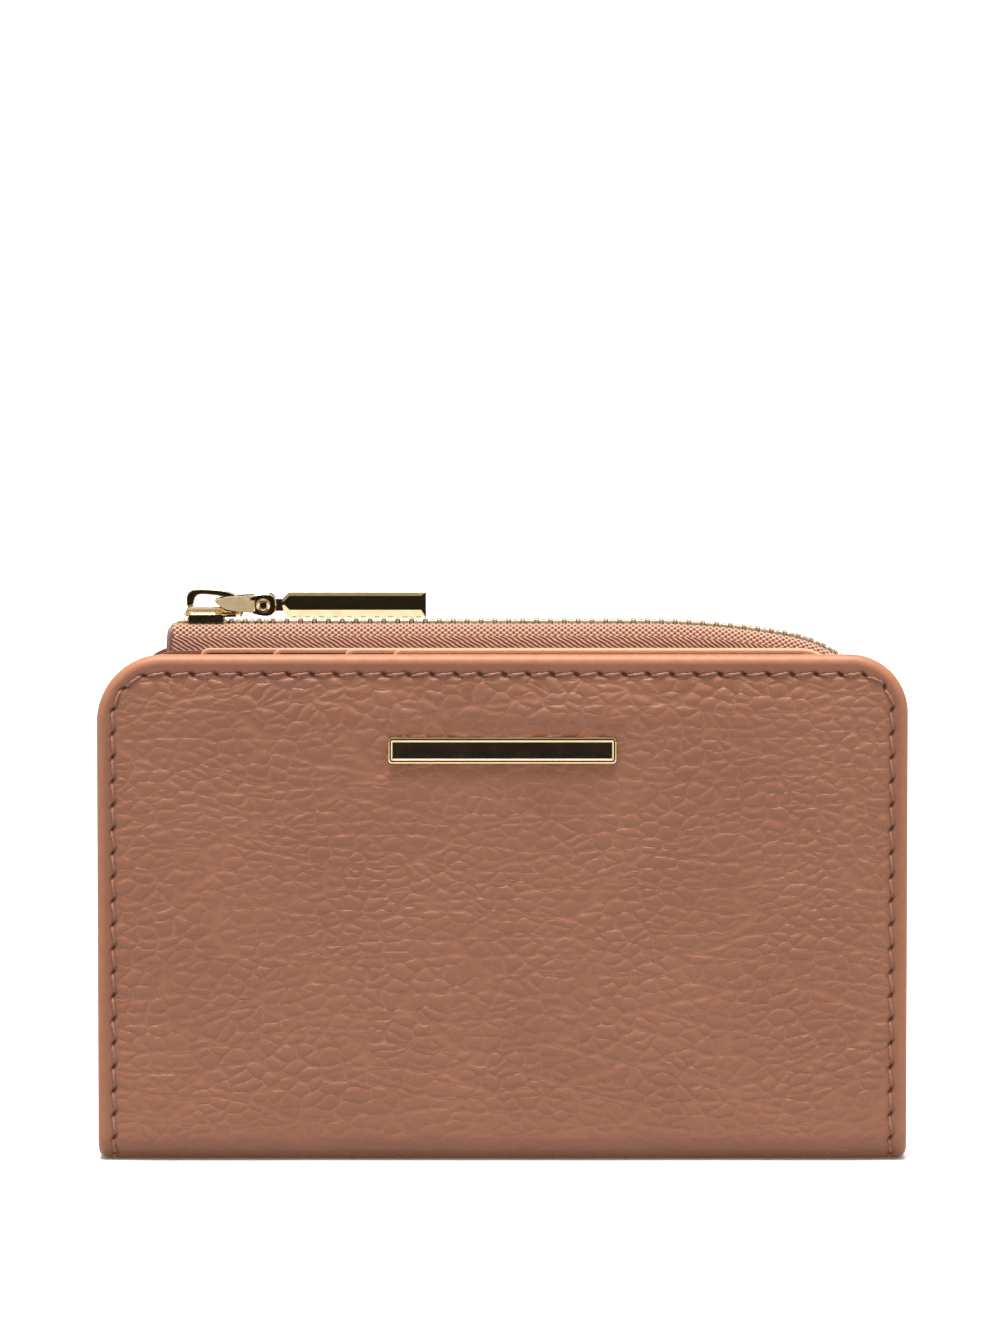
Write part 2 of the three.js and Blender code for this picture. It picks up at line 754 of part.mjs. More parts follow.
function addZip() {
  add('zip_tape_front', solidFrom(zipTape(-1)), tapeFabric());
  add('zip_tape_back', solidFrom(zipTape(1)), tapeFabric());
  add('zip_teeth_front', solidFrom(toothComb(-1)), gold());
  add('zip_teeth_back', solidFrom(toothComb(1)), gold());
  add('zip_top_stop_front', topStop(-1), gold());
  add('zip_top_stop_back', topStop(1), gold());
  add('zip_bottom_stop', bottomStop(), gold());
  add('zip_end_tab', endTab(), tapeFabric());
}

function addSlider() {
  add('slider_body', sliderBody(), gold());
  add('slider_bridge', sliderBridge(), gold());
  add('pull_link', pullLink(), gold());
  add('pull_pin', pullPin(), gold());
  add('pull_bar', pullBar(), gold());
}

addSpine();
addFrontCover();
addBackCover();
addPocket();
addZip();
addSlider();

export default wallet;
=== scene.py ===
"""The looks of a small bi-fold leather wallet with an L-shaped zip pocket.

Mesh code works in millimetres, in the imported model's frame, and MM turns it into metres.
Along the covers and the spine, a place is given as (x, v): x to the right, and v the
distance over the leather from the middle of the spine.
"""

import math

import bmesh
import bpy
import numpy as np
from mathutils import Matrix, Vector


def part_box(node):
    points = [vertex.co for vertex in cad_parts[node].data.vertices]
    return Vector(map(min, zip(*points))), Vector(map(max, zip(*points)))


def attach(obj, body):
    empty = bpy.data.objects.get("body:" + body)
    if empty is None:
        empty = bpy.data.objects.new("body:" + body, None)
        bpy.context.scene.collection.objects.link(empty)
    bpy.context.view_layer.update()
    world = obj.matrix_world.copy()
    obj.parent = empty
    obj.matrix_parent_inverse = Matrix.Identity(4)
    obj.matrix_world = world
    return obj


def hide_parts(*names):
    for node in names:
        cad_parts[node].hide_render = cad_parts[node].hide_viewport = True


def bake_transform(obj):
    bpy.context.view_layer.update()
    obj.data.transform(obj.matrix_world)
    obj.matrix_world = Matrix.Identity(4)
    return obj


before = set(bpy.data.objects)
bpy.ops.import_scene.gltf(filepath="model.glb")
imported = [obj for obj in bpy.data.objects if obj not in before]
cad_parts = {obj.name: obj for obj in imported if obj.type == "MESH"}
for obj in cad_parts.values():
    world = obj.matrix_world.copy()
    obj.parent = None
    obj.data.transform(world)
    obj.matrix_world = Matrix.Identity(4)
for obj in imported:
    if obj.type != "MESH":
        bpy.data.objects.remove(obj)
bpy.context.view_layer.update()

MM = 0.001

# ---------- sizes, in millimetres, from the frame ----------


def box_mm(node):
    low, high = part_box(node)
    return np.array(low) / MM, np.array(high) / MM


front_high = box_mm("front_leather")[1]
back_high = box_mm("back_leather")[1]

HALF = front_high[0]
TOP = {-1: front_high[2], 1: back_high[2]}
FACE = back_high[1]  # the covers' outer faces are at y = -FACE and y = FACE
BEND = 4.0
FLAT = FACE - BEND
ARC = BEND * math.pi / 2
V_TOP = {side: FLAT + ARC + top - BEND for side, top in TOP.items()}
CORNER_LEFT = 10.4
CORNER_RIGHT = 9.0
COVER_THICK = 2.9
SPINE_THICK = 1.9
LEATHER_THICK = 1.3
ROLL = 1.35  # radius of the rounded edge on the outer face
FLANGE = 1.1  # width of the painted edge, seen from inside

SIDES = ((-1, "front"), (1, "back"))

SEAM_SIDE = 2.5
SEAM_TOP = 2.9
STITCH_PITCH = 3.7
SLASH = (math.cos(math.radians(32)), math.sin(math.radians(32)))  # the needle holes' slant

plate_low, plate_high = box_mm("name_plate")
PLATE_X, _, PLATE_Z = (plate_low + plate_high) / 2
PLATE_HALF, _, PLATE_RISE = (plate_high - plate_low) / 2

teeth_low, teeth_high = box_mm("zip_teeth_front")
ZIP_Y = 0.7
ZIP_TOP = teeth_high[2]
ZIP_START = teeth_low[0]
ZIP_STRAIGHT_END = 22.0
CROWN_RADIUS = 128.0
CROWN_TURN = math.radians(9.9)
ZIP_CORNER = 21.7
ZIP_END = 15.0
TOOTH_PITCH = 2.15
TOOTH_WIDTH = 0.95

random = np.random.default_rng(7)


# ---------- node graphs ----------


def connect(value, socket):
    """Links a node's output to a socket, or stores a plain value in it."""
    if isinstance(value, Output):
        value.tree.links.new(value.socket, socket)
    else:
        socket.default_value = value


class Output:
    """A node's output, which adds and multiplies as a number or a vector does."""

    maths = "ShaderNodeMath"

    def __init__(self, tree, socket):
        self.tree, self.socket = tree, socket

    def calc(self, operation, *values):
        """The result of a new maths node on these values."""
        made = self.tree.nodes.new(self.maths)
        made.operation = operation
        for value, socket in zip(values, made.inputs):
            connect(value, socket)
        return type(self)(self.tree, made.outputs[0])

    def __add__(self, other):
        return self.calc("ADD", self, other)

    def __sub__(self, other):
        return self.calc("SUBTRACT", self, other)

    def __rsub__(self, other):
        return self.calc("SUBTRACT", other, self)

    def __mul__(self, other):
        return self.calc("MULTIPLY", self, other)


class Number(Output):
    def __pow__(self, other):
        return self.calc("POWER", self, other)

    def maximum(self, other):
        return self.calc("MAXIMUM", self, other)

    def sine(self):
        return self.calc("SINE", self)

    def clamped(self):
        self.socket.node.use_clamp = True
        return self

    def ramp(self, low, high, to_low=0.0, to_high=1.0):
        """A smooth step from to_low at low to to_high at high."""
        made = self.tree.nodes.new("ShaderNodeMapRange")
        made.interpolation_type = "SMOOTHSTEP"
        for value, socket in zip((self, low, high, to_low, to_high), made.inputs):
            connect(value, socket)
        return Number(self.tree, made.outputs[0])

    def mix(self, a, b):
        """Colour a where this is 0, and b where it is 1."""
        made = self.tree.nodes.new("ShaderNodeMix")
        made.data_type = "RGBA"
        for value, index in ((self, 0), (a, 6), (b, 7)):
            connect(value, made.inputs[index])
        return Output(self.tree, made.outputs[2])


class Place(Output):
    """A vector: mostly a place in millimetres, where textures are read."""

    maths = "ShaderNodeVectorMath"

    def split(self):
        """Its x, y and z."""
        made = self.tree.nodes.new("ShaderNodeSeparateXYZ")
        connect(self, made.inputs[0])
        return [Number(self.tree, socket) for socket in made.outputs]

    def texture(self, kind, **inputs):
        made = self.tree.nodes.new(f"ShaderNodeTex{kind}")
        for name, value in inputs.items():
            made.inputs[name].default_value = value
        connect(self, made.inputs["Vector"])
        return made

    def noise(self, scale, detail=2.0, roughness=0.5):
        made = self.texture("Noise", Scale=scale, Detail=detail, Roughness=roughness)
        return Number(self.tree, made.outputs[0])

    def drift(self, scale, detail, reach):
        """An uneven shift, by up to half of reach."""
        made = self.texture("Noise", Scale=scale, Detail=detail)
        return (Place(self.tree, made.outputs["Color"]) - (0.5, 0.5, 0.5)) * reach

    def cell_edges(self, scale, dimensions="2D"):
        """Distance to the nearest edge between cells, in cell sizes."""
        made = self.texture("Voronoi", Scale=scale)
        made.voronoi_dimensions = dimensions
        made.feature = "DISTANCE_TO_EDGE"
        return Number(self.tree, made.outputs["Distance"])

    def cell_tone(self, scale):
        """A random grey for each cell."""
        made = self.texture("Voronoi", Scale=scale)
        made.voronoi_dimensions = "2D"
        return Place(self.tree, made.outputs["Color"]).split()[0]


def attribute(tree, name, kind=Number):
    made = tree.nodes.new("ShaderNodeAttribute")
    made.attribute_name = name
    return kind(tree, made.outputs["Fac" if kind is Number else "Vector"])


def object_place(tree):
    """Object coordinates in millimetres."""
    coordinates = tree.nodes.new("ShaderNodeTexCoord")
    return Place(tree, coordinates.outputs["Object"]) * (1000.0, 1000.0, 1000.0)


def linear(r, g, b):
    """An sRGB colour of 0 to 255 as linear RGBA."""
    def one(c):
        c = c / 255
        return c / 12.92 if c <= 0.04045 else ((c + 0.055) / 1.055) ** 2.4
    return (one(r), one(g), one(b), 1.0)


def darkened(colour, share):
    return tuple(c * share for c in colour[:3]) + (1.0,)


# ---------- pebbled grain, shared by the relief and the material ----------

PEBBLES = 0.54  # cells for each millimetre of height


def pebble(place):
    """Height of the pebbled grain at place, (x, v) in millimetres: 0 on the pebbles, -1 in
    the deepest creases. Also the grey of each pebble."""
    bent = place + place.drift(0.026, 1.0, (6.0, 10.0, 0.0))
    bent = bent + place.drift(0.32, 2.0, (2.0, 1.3, 0.0)) + place.drift(0.95, 2.0, (1.0, 0.6, 0.0))
    strength = place.noise(0.075, 1.0)
    # pebbles: rounded cells, wider than they are high
    wide = bent * (0.62, 1.0, 1.0)
    edge = wide.cell_edges(PEBBLES)
    crease = edge.ramp(0.0, 0.16, 1.0, 0.0) ** 1.3 * strength.ramp(0.36, 0.60, 0.55, 1.0)
    dome = edge.ramp(0.0, 0.42, 1.0, 0.0)
    # small pebbles inside some of them
    small = (wide + (31.0, 17.0, 0.0)).cell_edges(0.88)
    fine = small.ramp(0.0, 0.2, 1.0, 0.0) * strength.ramp(0.40, 0.60, 0.22, 0.0)
    # long wrinkles that run across the cover
    long = (bent * (0.2, 1.0, 1.0) + (5.0, 9.0, 0.0)).cell_edges(0.25)
    wrinkle = long.ramp(0.0, 0.10, 1.0, 0.0) * strength.ramp(0.38, 0.60, 0.9, 0.6)
    deepest = crease.maximum(fine).maximum(wrinkle)
    return deepest * -0.72 + dome * -0.28, wide.cell_tone(PEBBLES)


def relief_group(depth_mm):
    """Geometry nodes that press the grain into a skin, where its attribute face is 1."""
    tree = bpy.data.node_groups.new("pebble_relief", "GeometryNodeTree")
    for way in ("INPUT", "OUTPUT"):
        tree.interface.new_socket("Geometry", in_out=way, socket_type="NodeSocketGeometry")

    def stored(name, data_type, kind):
        made = tree.nodes.new("GeometryNodeInputNamedAttribute")
        made.data_type = data_type
        made.inputs["Name"].default_value = name
        return kind(tree, made.outputs["Attribute"])
    height, _ = pebble(stored("grain", "FLOAT_VECTOR", Place))
    start = tree.nodes.new("NodeGroupInput")
    end = tree.nodes.new("NodeGroupOutput")
    normal = tree.nodes.new("GeometryNodeInputNormal")
    shift = tree.nodes.new("ShaderNodeVectorMath")
    shift.operation = "SCALE"
    tree.links.new(normal.outputs[0], shift.inputs[0])
    connect(height * stored("face", "FLOAT", Number) * (depth_mm * MM), shift.inputs["Scale"])
    move = tree.nodes.new("GeometryNodeSetPosition")
    tree.links.new(start.outputs[0], move.inputs["Geometry"])
    tree.links.new(shift.outputs[0], move.inputs["Offset"])
    tree.links.new(move.outputs[0], end.inputs[0])
    return tree


# ---------- materials ----------


def material(name):
    made = bpy.data.materials.new(name)
    made.use_nodes = True
    tree = made.node_tree
    shader = next(n for n in tree.nodes if n.type == "BSDF_PRINCIPLED")
    return made, tree, shader


def dress(shader, inputs):
    for name, value in inputs.items():
        connect(value, shader.inputs[name])


def bump(shader, height, strength, distance_mm, under=None):
    made = height.tree.nodes.new("ShaderNodeBump")
    made.inputs["Strength"].default_value = strength
    made.inputs["Distance"].default_value = distance_mm * MM
    connect(height, made.inputs["Height"])
    if under is not None:
        connect(under, made.inputs["Normal"])
    relief = Output(height.tree, made.outputs[0])
    connect(relief, shader.inputs["Normal"])
    return relief


LEATHER = linear(158, 102, 75)
LEATHER_CLOUD = linear(149, 94, 68)
LEATHER_DEEP = linear(130, 76, 53)
LEATHER_PALE_AND_HIGHLIGHT = linear(172, 115, 87)
EDGE_PAINT = linear(174, 114, 80)
EDGE_PAINT_DEEP = linear(166, 106, 74)
# painted shade for the inside of the needle holes
NEEDLE_HOLE_SHADE = linear(58, 26, 16)


def pebbled_leather():
    """Outer leather: pebbled face, smooth painted edge where the attribute edge is 1."""
    made, tree, shader = material("pebbled_leather")
    place = attribute(tree, "grain", Place)
    edge, hole, face = (attribute(tree, name) for name in ("edge", "hole", "face"))
    height, tone = pebble(place)
    speckle = place.noise(2.6)
    colour = place.noise(0.045, 3.0).ramp(0.3, 0.7).mix(LEATHER, LEATHER_CLOUD)
    colour = (tone * 0.16).mix(colour, LEATHER_PALE_AND_HIGHLIGHT)
    # the creases are painted lighter: a painted highlight for the light that catches the pebbles' rims along
    # them
    colour = (height.ramp(-0.3, -0.95) * (face * 0.5)).mix(colour, LEATHER_PALE_AND_HIGHLIGHT)
    colour = (speckle.ramp(0.55, 0.8) * 0.15).mix(colour, LEATHER_DEEP)
    colour = edge.mix(colour, place.noise(0.5).ramp(0.3, 0.7).mix(EDGE_PAINT, EDGE_PAINT_DEEP))
    # painted shade in the needle holes: near-black colour and no shine where the attribute hole is 1
    dress(shader, {
        "Base Color": (hole * 0.95).mix(colour, NEEDLE_HOLE_SHADE),
        "Roughness": speckle.ramp(0.3, 0.7, 0.40, 0.50) + edge * 0.08,
        "Specular IOR Level": (1.0 - hole) * 0.5,
    })
    pores = bump(shader, place.noise(5.5, 2.0, 0.6), 0.25, 0.03)
    bump(shader, height * face, 0.7, 0.16, under=pores)
    return made


def fine_leather(name, colour, edge_colour, grain_scale=1.1):
    """Inner leather with a fine flat grain. Its edge is painted where the attribute edge is 1,
    and it gets painted shade, near black, where that is below 0."""
    made, tree, shader = material(name)
    place = object_place(tree)
    edge = attribute(tree, "edge")
    grain = place.cell_edges(grain_scale, "3D").ramp(0.0, 0.2)
    cloud = place.noise(0.08, 3.0)
    deep = darkened(colour, 0.82)
    base = cloud.ramp(0.3, 0.7, 0.0, 0.5).mix(colour, deep)
    base = grain.ramp(1.0, 0.0, 0.0, 0.35).mix(base, deep)
    base = (edge * 1.0).clamped().mix(base, edge_colour)
    # painted shade in the pressed line, where the attribute edge is below 0
    base = (edge * -1.0).clamped().mix(base, darkened(colour, 0.25))
    roughness = cloud.ramp(0.3, 0.7, 0.48, 0.58)
    dress(shader, {"Base Color": base, "Roughness": roughness, "Specular IOR Level": 0.4})
    pores = bump(shader, place.noise(4.0), 0.25, 0.04)
    bump(shader, grain, 0.35, 0.06, under=pores)
    return made


TWILL_PITCH = 1.0
TWILL_SLANT = 1.6
HERRINGBONE = 3.2  # how wide each slant's stripe is
KNIT_END = 3.0  # how far the knitted loops reach across from the teeth
LOOP_PITCH = 0.78
FULL_TURN = 2 * math.pi


def weave_nodes(along, across):
    """-1 between the yarns and 1 on top of them: knitted loops by the teeth, then twill."""
    beyond = across - KNIT_END
    slant = beyond.calc("PINGPONG", beyond, HERRINGBONE)
    ridges = ((along - slant * TWILL_SLANT) * (FULL_TURN / TWILL_PITCH)).sine()
    cross = ((slant - along * 0.35) * (FULL_TURN / 0.42)).sine()
    twill = ridges * 0.72 + cross * 0.28
    loops = (along * (FULL_TURN / TWILL_PITCH)).sine() * (across * (FULL_TURN / LOOP_PITCH)).sine()
    part = across.ramp(KNIT_END - 0.15, KNIT_END + 0.15)
    return twill * part + (loops * 0.8 + 0.1) * (1.0 - part)


def weave_height(along, across):
    """The coarse part of the same weave, for the tape's real relief."""
    slant = np.abs((across - KNIT_END + HERRINGBONE) % (2 * HERRINGBONE) - HERRINGBONE)
    twill = np.sin((along - TWILL_SLANT * slant) * FULL_TURN / TWILL_PITCH)
    loops = np.sin(along * FULL_TURN / TWILL_PITCH) * np.sin(across * FULL_TURN / LOOP_PITCH)
    part = smooth((across - KNIT_END + 0.15) / 0.3)
    return 0.72 * twill * part + 0.8 * loops * (1 - part)


def woven_tape(name, deep, light):
    """Zip tape. The attribute weave holds the distance along and across the tape."""
    made, tree, shader = material(name)
    weave = attribute(tree, "weave", Place)
    along, across, _ = weave.split()
    height = weave_nodes(along, across)
    fuzz = weave.noise(6.0)
    between = tuple(0.35 * a + 0.65 * b for a, b in zip(deep, light))
    # the colour follows the weave's height: painted shade between the yarns, the light colour on their tops
    dress(shader, {
        "Base Color": (fuzz * 0.25).mix(height.ramp(-0.55, 0.45).mix(deep, light), between),
        "Roughness": 0.78,
        "Sheen Weight": 0.25,
        "Specular IOR Level": 0.25,
    })
    bump(shader, height + fuzz * 0.25, 0.9, 0.16)
    return made


def gold(name, roughness, colour=(212, 188, 150)):
    made, tree, shader = material(name)
    place = object_place(tree)
    wear = place.noise(0.9, 3.0)
    dress(shader, {
        "Base Color": wear.ramp(0.35, 0.7).mix(linear(*colour), linear(204, 178, 136)),
        "Metallic": 1.0,
        "Roughness": wear.ramp(0.3, 0.7, roughness * 0.8, roughness * 1.35),
    })
    bump(shader, (place * (0.6, 9.0, 9.0)).noise(1.0), 0.05, 0.02)
    return made


def thread_material():
    made, tree, shader = material("thread")
    fibre = object_place(tree).noise(7.0)
    colour = fibre.ramp(0.3, 0.7).mix(linear(126, 76, 56), linear(184, 128, 102))
    dress(shader, {"Base Color": colour, "Roughness": 0.55, "Sheen Weight": 0.3})
    bump(shader, fibre, 0.5, 0.05)
    return made


def board_material():
    made, tree, shader = material("fibre_board")
    flecks = object_place(tree).noise(1.6, 4.0, 0.7)
    colour = flecks.ramp(0.35, 0.65).mix(linear(150, 138, 118), linear(112, 100, 84))
    dress(shader, {"Base Color": colour, "Roughness": 0.9})
    bump(shader, flecks, 0.4, 0.08)
    return made


def lining_cloth():
    made, tree, shader = material("lining_cloth")
    x, _, z = object_place(tree).split()
    height = ((x + z) * (FULL_TURN / 0.5)).sine() + (x * (FULL_TURN / 0.25)).sine() * 0.4
    # the colour follows the weave's height: painted shade in the low threads
    colour = height.ramp(-1.0, 1.0).mix(linear(104, 76, 64), linear(150, 116, 98))
    dress(shader, {"Base Color": colour, "Roughness": 0.85, "Sheen Weight": 0.3})
    bump(shader, height, 0.4, 0.05)
    return made


# ---------- mesh building ----------


def smooth(t):
    t = np.clip(t, 0, 1)
    return t * t * (3 - 2 * t)


def build(name, points, faces, skin, slot, **fields):
    """A mesh object from points in millimetres, with its normals out and its fields stored."""
    mesh = bpy.data.meshes.new(name)
    mesh.from_pydata((np.asarray(points, float) * MM).tolist(), [], faces)
    shape = bmesh.new()
    shape.from_mesh(mesh)
    bmesh.ops.recalc_face_normals(shape, faces=shape.faces)
    shape.to_mesh(mesh)
    shape.free()
    for field, values in fields.items():
        set_field(mesh, field, values)
    mesh.polygons.foreach_set("use_smooth", [True] * len(mesh.polygons))
    mesh.materials.append(skin)
    made = bpy.data.objects.new(name, mesh)
    bpy.context.scene.collection.objects.link(made)
    return made


def set_field(mesh, field, values):
    values = np.asarray(values, np.float32)
    kind, key = ("FLOAT_VECTOR", "vector") if values.ndim == 2 else ("FLOAT", "value")
    mesh.attributes.new(field, kind, "POINT").data.foreach_set(key, values.ravel())


def freeze(made):
    """Applies an object's modifiers to its mesh."""
    bpy.context.view_layer.update()
    graph = bpy.context.evaluated_depsgraph_get()
    mesh = bpy.data.meshes.new_from_object(made.evaluated_get(graph), depsgraph=graph)
    made.modifiers.clear()
    made.data = mesh
    return made


def bevel(made, width_mm, segments, angle):
    """Rounds an object's sharp edges."""
    modifier = made.modifiers.new("edges", "BEVEL")
    modifier.width = width_mm * MM
    modifier.segments = segments
    modifier.limit_method = "ANGLE"
    modifier.angle_limit = math.radians(angle)
    return modifier


def bevelled(made, width_mm, segments, angle=35):
    """Rounds an object's sharp edges, keeps its flat faces flat and applies it."""
    bevel(made, width_mm, segments, angle).harden_normals = True
    return freeze(made)


def weighted(made, sharp=35):
    """Gives an object's large flat faces their own normals."""
    made.data.set_sharp_from_angle(angle=math.radians(sharp))
    made.modifiers.new("normals", "WEIGHTED_NORMAL").keep_sharp = True
    return freeze(made)


def loft_faces(count, rings, first=0):
    """Quads between rings of count points each, and a cap at both ends."""
    faces = []
    for r in range(rings - 1):
        for i in range(count):
            j = (i + 1) % count
            a = first + r * count
            faces.append((a + i, a + j, a + count + j, a + count + i))
    faces.append(tuple(first + i for i in reversed(range(count))))
    faces.append(tuple(first + (rings - 1) * count + i for i in range(count)))
    return faces


def stacked(ring, axis, stages):
    """A closed shell through outlines. Each stage is what ring takes and a level along axis;
    the outline's two coordinates are the other two axes, in x, y, z order."""
    rings = [np.insert(ring(given), axis, level, axis=1) for given, level in stages]
    return np.vstack(rings), loft_faces(len(rings[0]), len(rings))


def join_shells(shells):
    """Several (points, faces) as one."""
    points, faces = [], []
    for some_points, some_faces in shells:
        first = len(points)
        points.extend(np.asarray(some_points, float).tolist())
        faces.extend(tuple(first + i for i in face) for face in some_faces)
    return np.array(points), faces


def rounded_ring(left, right, bottom, top, radii, around=7):
    """A function that gives a rounded rectangle's (u, v) points at an inset, anticlockwise.
    radii are those of the bottom right, top right, top left and bottom left corners."""
    corners = [(right, bottom, -1, 1), (right, top, -1, -1), (left, top, 1, -1), (left, bottom, 1, 1)]

    def ring(inset):
        points = []
        for i, ((u, v, du, dv), radius) in enumerate(zip(corners, radii)):
            off = max(radius, inset + 0.03)
            start = 90 * (i - 1)
            points += arc(u + du * off, v + dv * off, off - inset, start, start + 90, around)
        return np.array(points)
    return ring


def panel(name, ring, y_front, y_back, edge_round, skin, slot, crease):
    """A flat panel with rounded, painted edges. ring(inset) gives its outline in (x, z).
    crease is how far inside the edge a pressed line runs on the front face; the line is dented a little and
    gets painted shade."""
    thick = y_back - y_front
    r = min(edge_round, thick / 2)
    turns = np.radians((0, 30, 60, 90))
    round_off = [(r * (1 - math.sin(turn)), r * (1 - math.cos(turn)), math.sin(turn)) for turn in turns]
    steps = [(inset, y_back - deep, painted) for inset, deep, painted in round_off]
    for inset, deep, painted in reversed(round_off):
        on_front = 0.75 * (deep < r)  # up to the crease, the front face is painted too
        steps.append((inset, y_front + deep, min(1.0, painted + on_front)))
    dent = y_front + 0.12
    # the dent's middle rings carry edge -0.9: painted shade along the pressed line
    steps += [(crease - 0.22, y_front, 0.6), (crease - 0.1, dent, -0.9)]
    steps += [(crease + 0.1, dent, -0.9), (crease + 0.22, y_front, 0)]
    points, faces = stacked(ring, 1, [(inset, y) for inset, y, _ in steps])
    edge = np.repeat([painted for _, _, painted in steps], len(points) // len(steps))
    return weighted(build(name, points, faces, skin, slot, edge=edge))


def prism(outline, axis, low, high):
    """A closed shell: outline extruded along axis from low to high."""
    return stacked(lambda flat: flat, axis, [(np.asarray(outline, float), level) for level in (low, high)])


def arc(cx, cy, radius, start, end, steps):
    """Points on an arc, angles in degrees."""
    turns = np.radians(np.linspace(start, end, steps + 1))
    return [(cx + radius * math.cos(t), cy + radius * math.sin(t)) for t in turns]


def quadratics(start, *legs):
    """Points on a chain of quadratic curves, without its last one. Each leg is the curve's
    control point, its end and how many steps it takes."""
    points = []
    for control, end, steps in legs:
        ts = np.linspace(0, 1, steps + 1)[:-1, None]
        a, b, c = (np.array(p, float) for p in (start, control, end))
        points += [tuple(p) for p in (1 - ts) ** 2 * a + 2 * ts * (1 - ts) * b + ts ** 2 * c]
        start = end
    return points


# ---------- covers: one skin for each side, from the spine's middle to the top ----------


def leather_place(v, side):
    """The outer face at distance v over the leather, as y, z, and its outward normal."""
    v = np.asarray(v, float)
    turn = np.clip((v - FLAT) / BEND, 0, math.pi / 2)
    y = np.where(v < FLAT, v, FLAT + BEND * np.sin(turn))
    z = BEND * (1 - np.cos(turn)) + np.clip(v - FLAT - ARC, 0, None)
    return side * y, z, side * np.sin(turn), -np.cos(turn)


def edge_distance(x, v, side):
    """How far (x, v) is inside the cover's outline."""
    top = V_TOP[side] - v
    sides = HALF - np.abs(x)
    inside = np.minimum(sides, top)
    for radius, sign in ((CORNER_LEFT, -1), (CORNER_RIGHT, 1)):
        du = sign * x - (HALF - radius)
        dv = v - (V_TOP[side] - radius)
        in_corner = (du > 0) & (dv > 0)
        inside = np.where(in_corner, radius - np.hypot(du, dv), inside)
    return inside


def seam_path(side):
    """The seam as (x, v) points, and each one's distance along it."""
    left, right = -HALF + SEAM_SIDE, HALF - SEAM_SIDE
    top = V_TOP[side] - SEAM_TOP
    r_left, r_right = CORNER_LEFT - SEAM_SIDE - 1.2, CORNER_RIGHT - SEAM_SIDE - 1.2
    points = [(left, 0.3)]
    points += arc(left + r_left, top - r_left, r_left, 180, 90, 24)
    points += arc(right - r_right, top - r_right, r_right, 90, 0, 24)
    points += [(right, 0.3)]
    points = np.array(points)
    lengths = np.concatenate([[0], np.cumsum(np.hypot(*np.diff(points, axis=0).T))])
    return points, lengths


def along_seam(s, side):
    """The seam's point and direction at distance s."""
    points, lengths = seam_path(side)
    at, ahead, behind = (
        np.array([np.interp(s + step, lengths, points[:, k]) for k in (0, 1)]) for step in (0, 0.05, -0.05)
    )
    direction = ahead - behind
    return at, direction / (np.linalg.norm(direction) or 1)


def seam_distance(x, v, side):
    """How far (x, v) is from the seam line."""
    points, _ = seam_path(side)
    best = np.full(np.shape(x), 99.0)
    for a, b in zip(points[:-1], points[1:]):
        d = b - a
        t = np.clip(((x - a[0]) * d[0] + (v - a[1]) * d[1]) / (d @ d), 0, 1)
        best = np.minimum(best, np.hypot(x - a[0] - t * d[0], v - a[1] - t * d[1]))
    return best


def stitch_holes(side):
    """Where the needle went through, evenly along the seam."""
    _, lengths = seam_path(side)
    count = round((lengths[-1] - 0.8) / STITCH_PITCH)
    return np.linspace(0.4, lengths[-1] - 0.4, count + 1)


def waves(x, v):
    """Slow unevenness of soft leather."""
    return (0.07 * np.sin(x / 9.3 + 1.2 * np.sin(v / 14.0)) + 0.05 * np.sin(v / 7.1 + x / 23.0 + 2.0)
            + 0.04 * np.sin(x / 4.7 - v / 6.1))


def face_rise(x, v, side):
    """How far the outer face stands out from the flat cover, with the needle holes pressed in, and the needle
    holes' mask, which the material fills with painted shade.
    """
    inside = edge_distance(x, v, side)
    on_cover = smooth((v - FLAT) / ARC)
    puff = 0.34 * smooth((inside - SEAM_SIDE) / 7.0) * on_cover
    soft = waves(x, v * (1 if side < 0 else -1)) * smooth((inside - 3) / 6) * on_cover
    if side < 0:
        plate_v = PLATE_Z - BEND + FLAT + ARC
        beyond = np.maximum(np.abs(x - PLATE_X) - PLATE_HALF, np.abs(v - plate_v) - PLATE_RISE)
        off_plate = smooth((beyond - 0.2) / 3.0)
        puff, soft = puff * off_plate, soft * off_plate
    rise = puff + soft - 0.2 * np.exp(-(seam_distance(x, v, side) / 0.55) ** 2)
    hole = np.zeros(np.shape(x))
    for s in stitch_holes(side):
        (hx, hv), (tx, tv) = along_seam(s, side)
        near = (np.abs(x - hx) < 1.6) & (np.abs(v - hv) < 1.6)
        dx, dv = x[near] - hx, v[near] - hv
        a, b = dx * tx + dv * tv, -dx * tv + dv * tx
        across, slash = a * SLASH[1] + b * SLASH[0], b * SLASH[1] - a * SLASH[0]
        hole[near] = np.maximum(hole[near], np.exp(-(across / 0.27) ** 2 - (slash / 0.72) ** 2))
    return rise - 0.5 * hole, hole


GRID = 0.36  # spacing of the skin's points


def skin_rows(side):
    """Rows over the leather: even, then closer where the top corners curve in."""
    radius = CORNER_LEFT - ROLL
    start = V_TOP[side] - CORNER_LEFT
    even = np.linspace(0, start, round(start / GRID) + 1)
    turns = np.linspace(0, math.pi / 2, round(radius * math.pi / 2 / GRID) + 1)[1:]
    return np.concatenate([even, start + radius * np.sin(turns)])


def row_end(v, corner, side):
    """Distance from the middle to the face's end in a row, and the outward direction there."""
    radius = corner - ROLL
    centre_v = V_TOP[side] - corner
    above = np.clip(v - centre_v, 0, radius)
    across = np.sqrt(np.maximum(radius ** 2 - above ** 2, 0))
    reach = HALF - corner + across
    return reach, across / radius, above / radius


